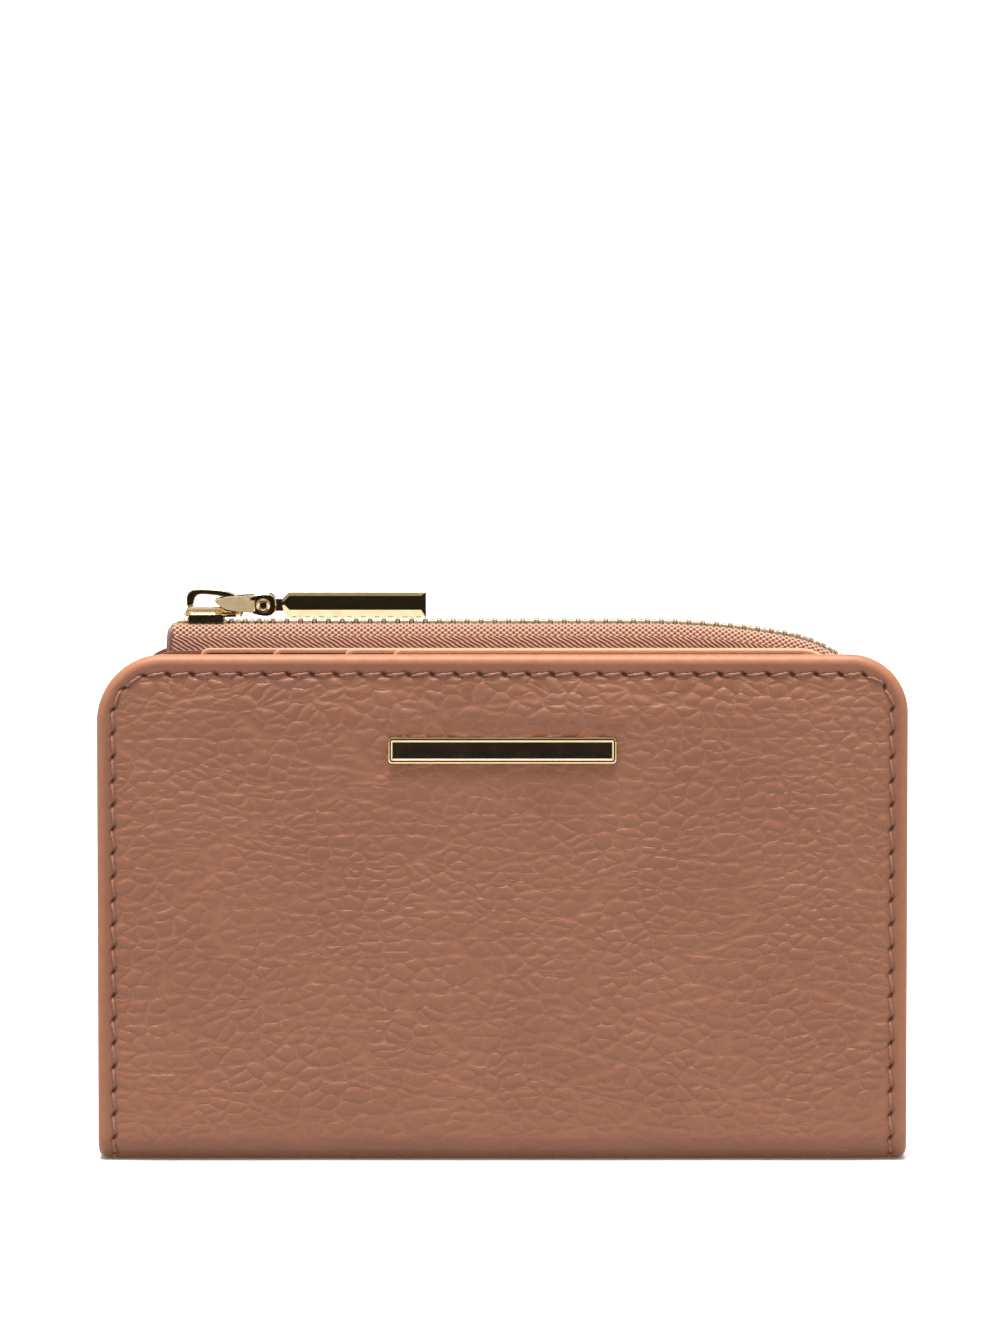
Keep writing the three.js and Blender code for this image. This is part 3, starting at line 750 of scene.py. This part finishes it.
def cover_skin(side, name, skin):
    """The outer leather of one cover with its half of the spine, and the painted edge."""
    rows = skin_rows(side)
    columns = np.linspace(0, 1, round(2 * HALF / GRID) + 1)
    left_reach, left_out, left_up = row_end(rows, CORNER_LEFT, side)
    right_reach, right_out, right_up = row_end(rows, CORNER_RIGHT, side)
    x = -left_reach[:, None] + (left_reach + right_reach)[:, None] * columns
    v = np.repeat(rows[:, None], len(columns), axis=1)
    rise, hole = face_rise(x, v, side)
    inside = edge_distance(x, v, side)
    grain_face = smooth((inside - SEAM_SIDE) / 1.0) * (0.35 + 0.65 * smooth((v - 8) / 14))
    edge_paint = 1 - smooth((inside - 0.7) / 0.9)
    y, z, ny, nz = leather_place(v, side)
    face = np.stack([x, y + ny * rise, z + nz * rise], axis=-1)

    # the boundary, from the spine up the left side, along the top and down the right side
    last, wide = len(rows) - 1, len(columns) - 1
    boundary = [(i, 0, -left_out[i], left_up[i]) for i in range(last)]
    boundary += [(last, j, 0.0, 1.0) for j in range(wide + 1)]
    boundary += [(i, wide, right_out[i], right_up[i]) for i in reversed(range(last))]
    at = np.array([(x[i, j], rows[i]) for i, j, _, _ in boundary])
    out = np.array([(a, b) for _, _, a, b in boundary])
    by, bz, bny, bnz = leather_place(at[:, 1], side)
    foot = np.column_stack([at[:, 0], by, bz])
    normal = np.column_stack([np.zeros(len(at)), bny, bnz])
    outward = np.column_stack([out[:, 0], np.zeros(len(at)), out[:, 1]])
    thick = SPINE_THICK + (COVER_THICK - SPINE_THICK) * smooth((at[:, 1] - FLAT) / ARC)

    inner_round = 0.5
    stages = []  # how far out, how deep, how painted
    for turn in np.radians((18, 36, 54, 72, 90)):
        stages.append((ROLL * math.sin(turn), ROLL * (1 - math.cos(turn)), min(1.0, 0.55 + turn)))
    for turn in np.radians((0, 30, 60, 90)):
        depth = thick - inner_round * (1 - math.sin(turn))
        stages.append((ROLL - inner_round * (1 - math.cos(turn)), depth, 1.0))
    stages.append((ROLL - FLANGE, thick, 1.0))
    stages.append((ROLL - FLANGE, LEATHER_THICK, 0.3))

    points = [face.reshape(-1, 3)]
    grain = [np.stack([x, -side * v, 0 * x], axis=-1).reshape(-1, 3)]
    fields = {"face": [grain_face.ravel()], "edge": [edge_paint.ravel()], "hole": [hole.ravel()]}
    for reach, depth, painted in stages:
        points.append(foot + outward * reach - normal * np.reshape(depth, (-1, 1)))
        over = at + out * reach
        grain.append(np.column_stack([over[:, 0], -side * over[:, 1], -np.broadcast_to(depth, len(at))]))
        fields["face"].append(np.zeros(len(at)))
        fields["edge"].append(np.full(len(at), painted))
        fields["hole"].append(np.zeros(len(at)))

    faces = []
    width = len(columns)
    for i in range(last):
        for j in range(wide):
            a = i * width + j
            faces.append((a, a + 1, a + width + 1, a + width))
    loops = [[i * width + j for i, j, _, _ in boundary]]
    first = len(rows) * width
    for k in range(len(stages)):
        loops.append(list(range(first + k * len(boundary), first + (k + 1) * len(boundary))))
    for one, two in zip(loops[:-1], loops[1:]):
        for i in range(len(boundary) - 1):
            faces.append((one[i], one[i + 1], two[i + 1], two[i]))
    inner = loops[-1]
    for i in range(last):  # the leather's back, a strip for each row
        faces.append((inner[i], inner[i + 1], inner[-2 - i], inner[-1 - i]))
    faces.append(tuple(inner[last:last + wide + 1]))
    bottom = [loop[0] for loop in loops] + [loop[-1] for loop in reversed(loops)]
    faces.append(tuple(bottom + list(range(wide - 1, 0, -1))))

    points = np.vstack(points)
    merged = {field: np.concatenate(parts) for field, parts in fields.items()}
    made = build(name, points, faces, skin, "leather", grain=np.vstack(grain), **merged)
    relief = made.modifiers.new("relief", "NODES")
    relief.node_group = pebble_relief
    return freeze(made)


def stitches(side, name, skin):
    """A row of separate slanted stitches of two-ply thread, each end down its needle hole."""
    shells = []
    holes = stitch_holes(side)
    rings, sides = 10, 8
    wound = 2.6 * math.pi  # how far the two plies wind along a stitch
    for s0, s1 in zip(holes[:-1], holes[1:]):
        line = []
        lean = 0.2 + 0.05 * random.standard_normal()
        for t in np.linspace(0, 1, rings):
            (x, v), (tx, tv) = along_seam(s0 + (s1 - s0) * (0.12 + 0.76 * t), side)
            shift = lean * (1 - 2 * t)
            x, v = x + tv * shift, v - tx * shift
            y, z, ny, nz = leather_place(v, side)
            on_spine = 1 - smooth((v - FLAT + 1) / ARC)
            lift = -0.42 + 0.48 * math.sin(math.pi * t) ** 0.55 - 0.16 * on_spine
            normal = np.array([0, float(ny), float(nz)])
            line.append((np.array([x, float(y), float(z)]) + normal * lift, normal))
        shell = []
        for k, (centre, normal) in enumerate(line):
            ahead = line[min(k + 1, rings - 1)][0] - line[max(k - 1, 0)][0]
            ahead = ahead / np.linalg.norm(ahead)
            sideways = np.cross(ahead, normal)
            sideways /= np.linalg.norm(sideways)
            up = np.cross(sideways, ahead)
            taper = 0.55 + 0.45 * math.sin(math.pi * k / (rings - 1)) ** 0.5
            for i in range(sides):
                turn = 2 * math.pi * i / sides
                radius = taper * (0.2 + 0.045 * math.cos(2 * (turn - wound * k / rings)))
                shell.append(centre + radius * (math.cos(turn) * sideways + 0.85 * math.sin(turn) * up))
        shells.append((shell, loft_faces(sides, rings)))
    points, faces = join_shells(shells)
    return build(name, points, faces, skin, "thread")


# ---------- the zip's run ----------

CROWN_LENGTH = CROWN_RADIUS * CROWN_TURN
FLAT_LENGTH = ZIP_STRAIGHT_END - ZIP_START
CORNER_LENGTH = ZIP_CORNER * (math.pi / 2 - CROWN_TURN)
CORNER_X = ZIP_STRAIGHT_END + (CROWN_RADIUS - ZIP_CORNER) * math.sin(CROWN_TURN)
CORNER_Z = ZIP_TOP - CROWN_RADIUS + (CROWN_RADIUS - ZIP_CORNER) * math.cos(CROWN_TURN)
ZIP_LENGTH = FLAT_LENGTH + CROWN_LENGTH + CORNER_LENGTH + CORNER_Z - ZIP_END


def zip_place(s):
    """The chain's outer face at distance s along the run, as x, z, and its outward direction."""
    s = np.asarray(s, float)
    turn = np.clip((s - FLAT_LENGTH) / CROWN_RADIUS, 0, CROWN_TURN)
    turn = turn + np.clip((s - FLAT_LENGTH - CROWN_LENGTH) / ZIP_CORNER, 0, math.pi / 2 - CROWN_TURN)
    on_corner = s > FLAT_LENGTH + CROWN_LENGTH
    out_x, out_z = np.sin(turn), np.cos(turn)
    x = np.where(on_corner, CORNER_X + ZIP_CORNER * out_x, ZIP_STRAIGHT_END + CROWN_RADIUS * out_x)
    z = np.where(on_corner, CORNER_Z + ZIP_CORNER * out_z, ZIP_TOP - CROWN_RADIUS * (1 - out_z))
    x = x + np.minimum(s - FLAT_LENGTH, 0)
    z = z - np.clip(s - FLAT_LENGTH - CROWN_LENGTH - CORNER_LENGTH, 0, None)
    return x, z, out_x, out_z


def tooth_shell(s, side):
    """One tooth: a rounded block, narrower at its tip, on the bead of its row."""
    width = TOOTH_WIDTH / 2
    reach = [(-2.3, 0.9), (-0.9, 1.0), (-0.1, 0.82), (0.45, 0.8), (0.68, 0.45)]  # depth, share of the width
    outline = [(width * a, y) for y, a in reach] + [(-width * a, y) for y, a in reversed(reach)]
    middle = -0.8
    levels = ((-2.1, 0.8), (-1.95, 1.0), (-0.2, 1.0), (-0.03, 0.84))
    points = []
    for out, shrink in levels:
        for along, y in outline:
            x, z, ox, oz = zip_place(s + along * shrink)
            depth = middle + (y - middle) * (1 - (1 - shrink) * 0.25)
            points.append((float(x + ox * out), ZIP_Y - side * depth, float(z + oz * out)))
    return np.array(points), loft_faces(len(outline), len(levels))


def teeth(side, name, skin):
    count = int((ZIP_LENGTH - TOOTH_WIDTH) / TOOTH_PITCH)
    shift = 0.5 * TOOTH_PITCH if side > 0 else 0.0
    shells = [tooth_shell(TOOTH_WIDTH / 2 + i * TOOTH_PITCH + shift, side) for i in range(count)]
    points, faces = join_shells(shells)
    return bevelled(build(name, points, faces, skin, "gold_metal"), 0.07, 1, angle=50)


TAPE_THICK = 0.45


def tape_section():
    """The tape's outer side from the teeth outwards and down, as (depth from the middle, out),
    in even steps that are small enough for the weave. Also each one's distance across."""
    points = [(2.36, -1.1), (2.5, -0.7), (2.8, -0.5), (3.14, -0.68), (3.42, -1.12), (3.62, -1.8)]
    points = np.array(points + [(3.74, -2.5)] + [(3.8, down) for down in np.arange(-3.2, -9.3, -0.3)])
    lengths = np.concatenate([[0], np.cumsum(np.hypot(*np.diff(points, axis=0).T))])
    across = np.linspace(0, lengths[-1], round(lengths[-1] / 0.26))
    return np.column_stack([np.interp(across, lengths, points[:, k]) for k in (0, 1)]), across


def tape(side, name, skin):
    """One half of the zip's tape, with the weave as real relief on the side that shows."""
    section, across = tape_section()
    ahead = np.gradient(section, axis=0)
    ahead /= np.linalg.norm(ahead, axis=1)[:, None]
    outer_normal = np.column_stack([-ahead[:, 1], ahead[:, 0]])
    s = np.arange(-1.0, ZIP_LENGTH + 0.3, 0.22)
    x, z, ox, oz = zip_place(s)
    height = 0.09 * weave_height(s[:, None], across[None, :])
    shells = []
    for depth, rise in ((0.0, height), (TAPE_THICK, np.full(height.shape, -TAPE_THICK))):
        where = section[None] + outer_normal[None] * rise[:, :, None]
        ceiling = -0.3 - 0.6 * (1 - smooth((s + 1.0) / 0.9)) - depth  # its first corner is rounded off
        where[..., 1] = np.minimum(where[..., 1], ceiling[:, None])
        depth_in, out = where[..., 0], where[..., 1]
        shells.append(np.stack([x[:, None] + ox[:, None] * out, ZIP_Y + side * depth_in,
                                z[:, None] + oz[:, None] * out], axis=-1))
    ring = np.concatenate([shells[0], shells[1][:, ::-1]], axis=1)
    count = ring.shape[1]
    weave = np.concatenate([across, across[::-1]])
    weave = np.column_stack([np.repeat(s, count), np.tile(weave, len(s)), np.zeros(len(s) * count)])
    return build(name, ring.reshape(-1, 3), loft_faces(count, len(s)), skin, "tape", weave=weave)


def folded_end(skin):
    """The tape's left end: folded round from the front to the back, with its edge turned in."""
    low, high = box_mm("zip_end_tab")
    half = (high[1] - low[1]) / 2
    middle = (high[1] + low[1]) / 2
    right = high[0] + 0.5
    reach = right - low[0] - 0.35
    turns = np.radians(np.linspace(-90, 90, 37))
    heights = np.linspace(low[2] - 10.2, high[2], 96)
    points = []
    for z in heights:
        fall = smooth((z - high[2] + 0.9) / 0.9)  # rounded off at the top
        squeeze = 1 - 0.35 * fall
        bulge = 1 + 0.12 * math.sin((z - low[2]) * 0.9)
        for depth, order in ((0.0, turns), (TAPE_THICK, turns[::-1])):
            for turn in order:
                out = max(math.cos(turn), 0) ** 0.7
                x = right - max((reach * squeeze * bulge - depth) * out, 0) + 0.4 * fall * out
                y = middle + (half * squeeze - depth) * math.sin(turn)
                points.append((x, y, z))
    points = np.array(points)
    around = np.concatenate([turns, turns[::-1]]) * half
    along = np.tile(around, len(heights))
    weave = np.column_stack([along, high[2] + 1.2 - points[:, 2], np.zeros(len(points))])
    return build("tape_end", points, loft_faces(len(around), len(heights)), skin, "tape", weave=weave)


# ---------- small metal parts ----------


PLATE_GAP = (80.65, 83.6)  # between the slider's two plates
FLANGE_GAP = (81.6, 82.7)  # between their flanges
FLANGE_THICK = 0.55


def slider_shells():
    """The slider's two plates with their flanges, and the post between them."""
    low, high = box_mm("slider_body")
    left, right = low[0], high[0] + 0.3
    half = (high[1] - low[1]) / 2
    front = ZIP_Y - half
    gap_low, gap_high = PLATE_GAP
    plate = [(left, front + 0.9), (left + 0.35, front + 0.25), (left + 1.0, front)]
    plate += quadratics((right - 3.2, front), ((right - 0.6, front + 0.3), (right, ZIP_Y - 1.6), 6))
    plate += [(right, ZIP_Y - 1.4)]
    plate += [(a, 2 * ZIP_Y - b) for a, b in reversed(plate)]
    middle = np.mean(plate, axis=0)

    def scaled(scale):
        return middle + (np.array(plate) - middle) * scale
    # the top plate: a thin rim, and a narrow ridge that the link's cheeks hang over
    stages = [((1.0, 1.0), gap_high), ((1.0, 1.0), gap_high + 0.4), ((0.94, 0.42), gap_high + 0.65)]
    stages += [((0.88, 0.34), high[2] - 0.12), ((0.85, 0.3), high[2])]
    shells = [prism(plate, 2, low[2], gap_low), stacked(scaled, 2, stages)]
    start, end = left + 0.9, right - 3.0
    for side in (-1, 1):
        y0, y1 = sorted((ZIP_Y + side * half, ZIP_Y + side * (half - FLANGE_THICK)))
        for z0, z1 in ((FLANGE_GAP[1], gap_high + 0.3), (gap_low - 0.3, FLANGE_GAP[0])):
            wall = [(start, z0), (end - 0.3, z0), (end, z0 + 0.2), (end, z1), (start, z1)]
            shells.append(prism(wall, 1, y0, y1))
    post = [(left + 0.6, -0.3), (left + 2.2, -0.3), (left + 2.2, 0.3), (left + 0.6, 0.3)]
    shells.append(prism([(x, ZIP_Y + y) for x, y in post], 2, gap_low - 0.2, gap_high + 0.2))
    return shells


def united(name, shells, skin, slot, width, segments=3, angle=35):
    """Shells joined into one solid, with its sharp edges rounded."""
    pieces = [build(f"{name}_{i}", points, faces, skin, slot) for i, (points, faces) in enumerate(shells)]
    whole = pieces[0]
    for other in pieces[1:]:
        modifier = whole.modifiers.new("join", "BOOLEAN")
        modifier.operation = "UNION"
        modifier.solver = "EXACT"
        modifier.object = other
        freeze(whole)
        bpy.data.objects.remove(other)
    whole.name = name
    return bevelled(whole, width, segments, angle)


def bridge_outline():
    low, high = box_mm("slider_bridge")
    left, right, foot, top = low[0], high[0] + 0.5, low[2] - 0.1, high[2]
    outer = quadratics(
        (left - 0.05, top - 1.5), ((left + 0.1, top - 0.05), (left + 1.7, top), 7),
        ((right - 2.2, top + 0.05), (right - 0.9, top - 0.9), 8), ((right, top - 1.6), (right, foot), 6),
    )
    inner = quadratics(
        (right - 0.95, foot + 0.35), ((right - 1.2, top - 1.7), (right - 2.1, top - 1.4), 6),
        ((right - 3.4, top - 0.9), (left + 2.3, top - 0.85), 7),
        ((left + 1.4, top - 0.9), (left + 1.25, top - 1.7), 6),
    )
    ends = [(left + 1.1, foot + 0.35), (left + 0.8, foot)]
    return [(left, foot), *outer, (right, foot), (right - 0.95, foot), *inner, *ends]


def slider_bridge(skin):
    shell = prism(bridge_outline(), 1, ZIP_Y - 1.1, ZIP_Y + 1.1)
    return bevelled(build("bridge", *shell, skin, "gold_metal"), 0.14, 3)


PIN_X, _, PIN_Z = np.mean(box_mm("pull_pin"), axis=0)
WAIST_X = box_mm("pull_link")[0][0] + 0.8  # the bar of the link that hangs in the bridge
WAIST_Z = 86.3


def corner_cut(points, times=2):
    """A closed outline with its corners cut to a smooth curve."""
    for _ in range(times):
        ahead = np.roll(points, -1, axis=0)
        points = np.stack([0.75 * points + 0.25 * ahead, 0.25 * points + 0.75 * ahead], axis=1).reshape(-1, 2)
    return points


# outlines of the link, from the pin: a pointed leaf by the slider, and a boss round the rivet
LEAF = (
    (-7.7, 0.72), (-7.1, 0.15), (-6.0, -0.6), (-4.6, -0.92), (-3.0, -1.02), (-1.3, -1.2),
    (-1.2, 0.2), (-1.3, 1.62), (-3.0, 1.45), (-5.2, 1.35), (-6.9, 1.05),
)
BOSS = ((-2.4, -1.1), (0.2, -1.75), (1.4, -1.5), (2.0, -0.7), (2.0, 0.7), (1.5, 1.6), (0.4, 1.9), (-2.4, 1.5))


def cheek(side, outline, stages, lean):
    """One side of the link. stages are (distance from the middle, shrink) from the inside out;
    lean makes its foot stand proud, so that it faces up a little."""
    outline = corner_cut(np.array(outline))
    centre = outline.mean(axis=0)
    rings = []
    for depth, shrink in stages:
        x, z = (centre + (outline - centre) * (1 - shrink)).T
        y = depth - z * (lean if depth > 1.6 else 0)
        rings.append(np.column_stack([PIN_X + x, ZIP_Y + side * y, PIN_Z + z]))
    return np.vstack(rings), loft_faces(len(outline), len(rings))


def circle(x, z, radius, sides):
    return arc(x, z, radius, 0, 360, sides)[:-1]


def pull_link(skin):
    """Two cheeks joined by the bar that hangs in the bridge."""
    shells = []
    for side in (-1, 1):
        shells.append(cheek(side, LEAF, ((1.35, 0.05), (1.45, 0.0), (2.15, 0.0), (2.25, 0.05)), 0.2))
        shells.append(cheek(side, BOSS, ((1.38, 0.05), (1.48, 0.0), (1.95, 0.0), (2.1, 0.08)), 0.0))
    shells.append(prism(circle(WAIST_X, WAIST_Z, 0.42, 20), 1, ZIP_Y - 1.5, ZIP_Y + 1.5))
    return united("link", shells, skin, "gold_metal", 0.08, 3, angle=24)


def pull_pin(skin):
    """The rivet: a ring head with a hollow middle at both ends."""
    profile = [(0.52, -2.15), (0.58, -2.42), (0.8, -2.55), (1.05, -2.42), (1.12, -2.08), (0.48, -2.0)]
    profile += [(r, -y) for r, y in reversed(profile)]
    shell = stacked(lambda radius: circle(PIN_X, PIN_Z, radius, 24), 1, [(r, ZIP_Y + y) for r, y in profile])
    return weighted(build("rivet", *shell, skin, "gold_metal"))


LUG = 0.95  # radius of the bar's end round the rivet


def pull_bar(skin):
    """The bevelled bar, with the lug that the rivet goes through."""
    low, high = box_mm("pull_bar")
    left, right, bottom, top = PIN_X + 2.45, high[0] - 0.5, low[2], high[2]
    half = (high[1] - low[1]) / 2 + 0.1

    def outline(insets):
        """Six points, pointed on the left. insets are those of its top, bottom, left and right."""
        up, down, start, end = insets
        x0, x1, z0, z1 = left + start, right - end, bottom + down, top - up
        cut = 0.38 * (z1 - z0)
        return np.array([(x0, z0 + cut), (x0 + cut, z0), (x1, z0), (x1, z1), (x0 + cut, z1), (x0, z1 - cut)])
    full = (0, 0, 0, 0)
    back, front = (0.62, 1.05, 0.6, 0.35), (0.5, 1.25, 0.75, 0.75)
    stages = [(back, half), (full, half - 0.25), (full, -half + 0.2), (front, -half)]
    body = stacked(outline, 1, [(insets, ZIP_Y + y) for insets, y in stages])
    lug = arc(PIN_X, PIN_Z, LUG, 90, 270, 10) + [(left + 0.6, PIN_Z - LUG), (left + 0.6, PIN_Z + LUG)]
    lug_shell = prism(lug, 1, ZIP_Y - 1.1, ZIP_Y + 1.1)
    return united("bar", [body, lug_shell], skin, "gold_metal", 0.06, 2, angle=8)


def name_plate(skin):
    """A plain bevelled bar with a sunk middle."""
    ring = rounded_ring(plate_low[0], plate_high[0], plate_low[2], plate_high[2], (0.7,) * 4, around=6)
    back, front = -FACE + 0.1, plate_low[1]
    stages = [(0.15, back), (0.0, back - 0.1), (0.0, front + 0.3), (0.1, front + 0.08), (0.3, front)]
    stages += [(0.52, front), (0.68, front + 0.1), (0.74, front + 0.34), (0.84, front + 0.38)]
    return weighted(build("plate", *stacked(ring, 1, stages), skin, "gold_metal"), 12)


# ---------- pieces on their bodies ----------


def place_covers():
    outer = pebbled_leather()
    thread = thread_material()
    inner = fine_leather("inner_leather", linear(176, 124, 98), EDGE_PAINT)
    for side, word in SIDES:
        start = (0, side * FLAT * MM, 0)
        end = (0, side * FACE * MM, BEND * MM)
        skin = cover_skin(side, f"{word}_skin", outer)
        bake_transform(skin)
        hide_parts(f"{word}_leather", "spine_leather")
        seam = stitches(side, f"{word}_stitches", thread)
        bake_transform(seam)
        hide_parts(f"{word}_thread")
        low, high = box_mm(f"{word}_lining")
        inset = FLANGE + 0.15
        radii = (1.0, CORNER_RIGHT - inset, CORNER_LEFT - inset, 1.0)
        left, right = low[0] - 0.3 + inset, high[0] + 0.3 - inset
        ring = rounded_ring(left, right, low[2], TOP[side] - inset, radii)
        lining = panel(f"{word}_inner_face", ring, low[1], high[1], 0.35, inner, "inner_leather", crease=1.6)
        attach(lining, f"{word}_cover")
        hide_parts(f"{word}_lining")
    low, high = box_mm("spine_lining")
    ring = rounded_ring(low[0], high[0], low[1], high[1], (0.6,) * 4)
    stages = [(0.25, low[2]), (0.0, low[2] + 0.2), (0.0, high[2] - 0.2), (0.25, high[2])]
    strip = weighted(build("spine_inner_face", *stacked(ring, 2, stages), inner, "inner_leather"))
    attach(strip, "spine")
    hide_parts("spine_lining")
    plate = name_plate(gold("plate_gold", 0.1))
    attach(plate, "front_cover")
    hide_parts("name_plate")
    return inner


def place_slots():
    skin = fine_leather("slot_leather", linear(176, 118, 88), linear(208, 150, 116))
    for index in range(1, 5):
        low, high = box_mm(f"card_slot_{index}")
        ring = rounded_ring(low[0], high[0], low[2], high[2], (0.8, 6.5, 1.5, 0.8))
        made = panel(f"slot_{index}", ring, low[1], high[1], 0.3, skin, "slot_leather", crease=0.9)
        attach(made, "back_cover")
        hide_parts(f"card_slot_{index}")


def place_zip():
    cloth = woven_tape("woven_tape", linear(102, 56, 38), linear(226, 176, 148))
    metal = gold("teeth_gold", 0.2, (205, 186, 152))
    for side, word in SIDES:
        half = tape(side, f"tape_{word}", cloth)
        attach(half, "back_cover")
        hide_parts(f"zip_tape_{word}")
        row = teeth(side, f"teeth_{word}", metal)
        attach(row, "back_cover")
        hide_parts(f"zip_teeth_{word}")
    # the folded end gets a darker copy of the tape's colours: painted shade on the fold, which faces away
    # from the light
    tab = folded_end(woven_tape("folded_tape_painted_shade", linear(76, 40, 28), linear(178, 126, 100)))
    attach(tab, "back_cover")
    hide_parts("zip_end_tab")


def place_slider():
    metal = gold("polished_gold", 0.09)
    body = united("slider", slider_shells(), metal, "gold_metal", 0.16)
    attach(body, "slider")
    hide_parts("slider_body")
    bridge = slider_bridge(metal)
    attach(bridge, "slider")
    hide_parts("slider_bridge")
    link = pull_link(metal)
    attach(link, "pull_link")
    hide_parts("pull_link")
    rivet = pull_pin(metal)
    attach(rivet, "pull_link")
    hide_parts("pull_pin")
    bar = pull_bar(metal)
    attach(bar, "pull_bar")
    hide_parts("pull_bar")


def finish_kept_nodes(inner):
    """The CAD nodes that stay get rounded edges and a material."""
    walls = fine_leather("wall_leather", linear(150, 98, 76), linear(206, 152, 120), 0.7)
    looks = (
        (walls, ("pocket_front_wall", "pocket_back_wall")),
        (inner, ("pocket_gusset", "pocket_hinge_strip")),
        (lining_cloth(), ("coin_lining_front", "coin_lining_back")),
        (board_material(), ("front_board", "back_board")),
        (gold("clip_gold", 0.25), ("plate_clip_left", "plate_clip_right")),
        (gold("stop_gold", 0.2), ("zip_top_stop_front", "zip_top_stop_back", "zip_bottom_stop")),
    )
    for look, names in looks:
        for name in names:
            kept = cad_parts[name]
            kept.data.materials.clear()
            kept.data.materials.append(look)
            bevel(kept, 0.12, 2, 40)


# ---------- stage ----------


# brightness of the studio: the white sweep at eye level, its dim walls and its lit ceiling
HORIZON = 1.03
WALL = 0.40
CEILING = 1.4
GROUND = 0.56  # what the table sends back to the wallet
FLOOR_REACH = 60.0


def rectangle(name, corners, skin):
    """A flat thing on the stage that throws no light on the wallet."""
    mesh = bpy.data.meshes.new(name)
    mesh.from_pydata(corners, [], [(0, 1, 2, 3)])
    mesh.materials.append(skin)
    made = bpy.data.objects.new(name, mesh)
    made.visible_diffuse = False
    bpy.context.scene.collection.objects.link(made)
    return made


def floor():
    pale, _, shader = material("pale_floor")
    dress(shader, {"Base Color": (0.8, 0.8, 0.8, 1), "Roughness": 0.9, "Specular IOR Level": 0.1})
    corners = [(x * FLOOR_REACH, y * FLOOR_REACH, 0) for x, y in ((-1, -1), (1, -1), (1, 1), (-1, 1))]
    ground = rectangle("floor", corners, pale)
    ground.location.z = -0.1 * MM


def studio():
    """The room's light, by the height that a ray points to."""
    world = bpy.data.worlds.new("studio")
    world.use_nodes = True
    bpy.context.scene.world = world
    tree = world.node_tree
    sky = next(n for n in tree.nodes if n.type == "BACKGROUND")
    direction = tree.nodes.new("ShaderNodeTexCoord")
    height = Place(tree, direction.outputs["Generated"]).split()[2]
    band = height.ramp(0.12, 0.60, HORIZON - WALL, 0.0)
    ceiling = height.ramp(0.55, 0.90, 0.0, CEILING - WALL)
    room = band + ceiling + WALL
    above = height.ramp(-0.06, -0.03)
    dress(sky, {"Color": (1, 1, 1, 1), "Strength": (room - GROUND) * above + GROUND})


def overhead_light():
    sun = bpy.data.lights.new("overhead", "SUN")
    sun.energy = 4.4
    sun.angle = math.radians(30)
    made = bpy.data.objects.new("overhead", sun)
    made.rotation_euler = (math.radians(8), 0, math.radians(-20))
    bpy.context.scene.collection.objects.link(made)


def front_card():
    """A black card in front of the wallet that only mirrors see."""
    black, _, shader = material("front_card")
    dress(shader, {"Base Color": (0.012, 0.01, 0.009, 1), "Roughness": 1.0})
    half, y, top = 0.25, -0.25, 0.115
    made = rectangle("front_card", [(-half, y, 0.0), (half, y, 0.0), (half, y, top), (-half, y, top)], black)
    made.visible_camera = False
    made.visible_shadow = False


CAMERA_ELEVATION = math.radians(5.0)
CAMERA_DISTANCE = 1.3
FRAME_HEIGHT = 205.2 * MM  # what the frame's long side covers at the front cover
FRAME_CENTRE_X = -0.36 * MM
FRAME_CENTRE_Z = 76.54 * MM


def camera():
    data = bpy.data.cameras.new("camera")
    data.sensor_width = 36
    data.lens = 36 * CAMERA_DISTANCE / FRAME_HEIGHT
    data.clip_start, data.clip_end = 0.05, 200
    made = bpy.data.objects.new("camera", data)
    target = Vector((FRAME_CENTRE_X, -FACE * MM, FRAME_CENTRE_Z))
    away = Vector((0, -math.cos(CAMERA_ELEVATION), math.sin(CAMERA_ELEVATION)))
    made.location = target + away * CAMERA_DISTANCE
    made.rotation_euler = (-away).to_track_quat("-Z", "Y").to_euler()
    bpy.context.scene.collection.objects.link(made)
    bpy.context.scene.camera = made


pebble_relief = relief_group(0.22)
camera()
inner_leather = place_covers()
place_slots()
place_zip()
place_slider()
finish_kept_nodes(inner_leather)
bpy.context.scene.view_settings.view_transform = "Standard"
floor()
studio()
overhead_light()
front_card()
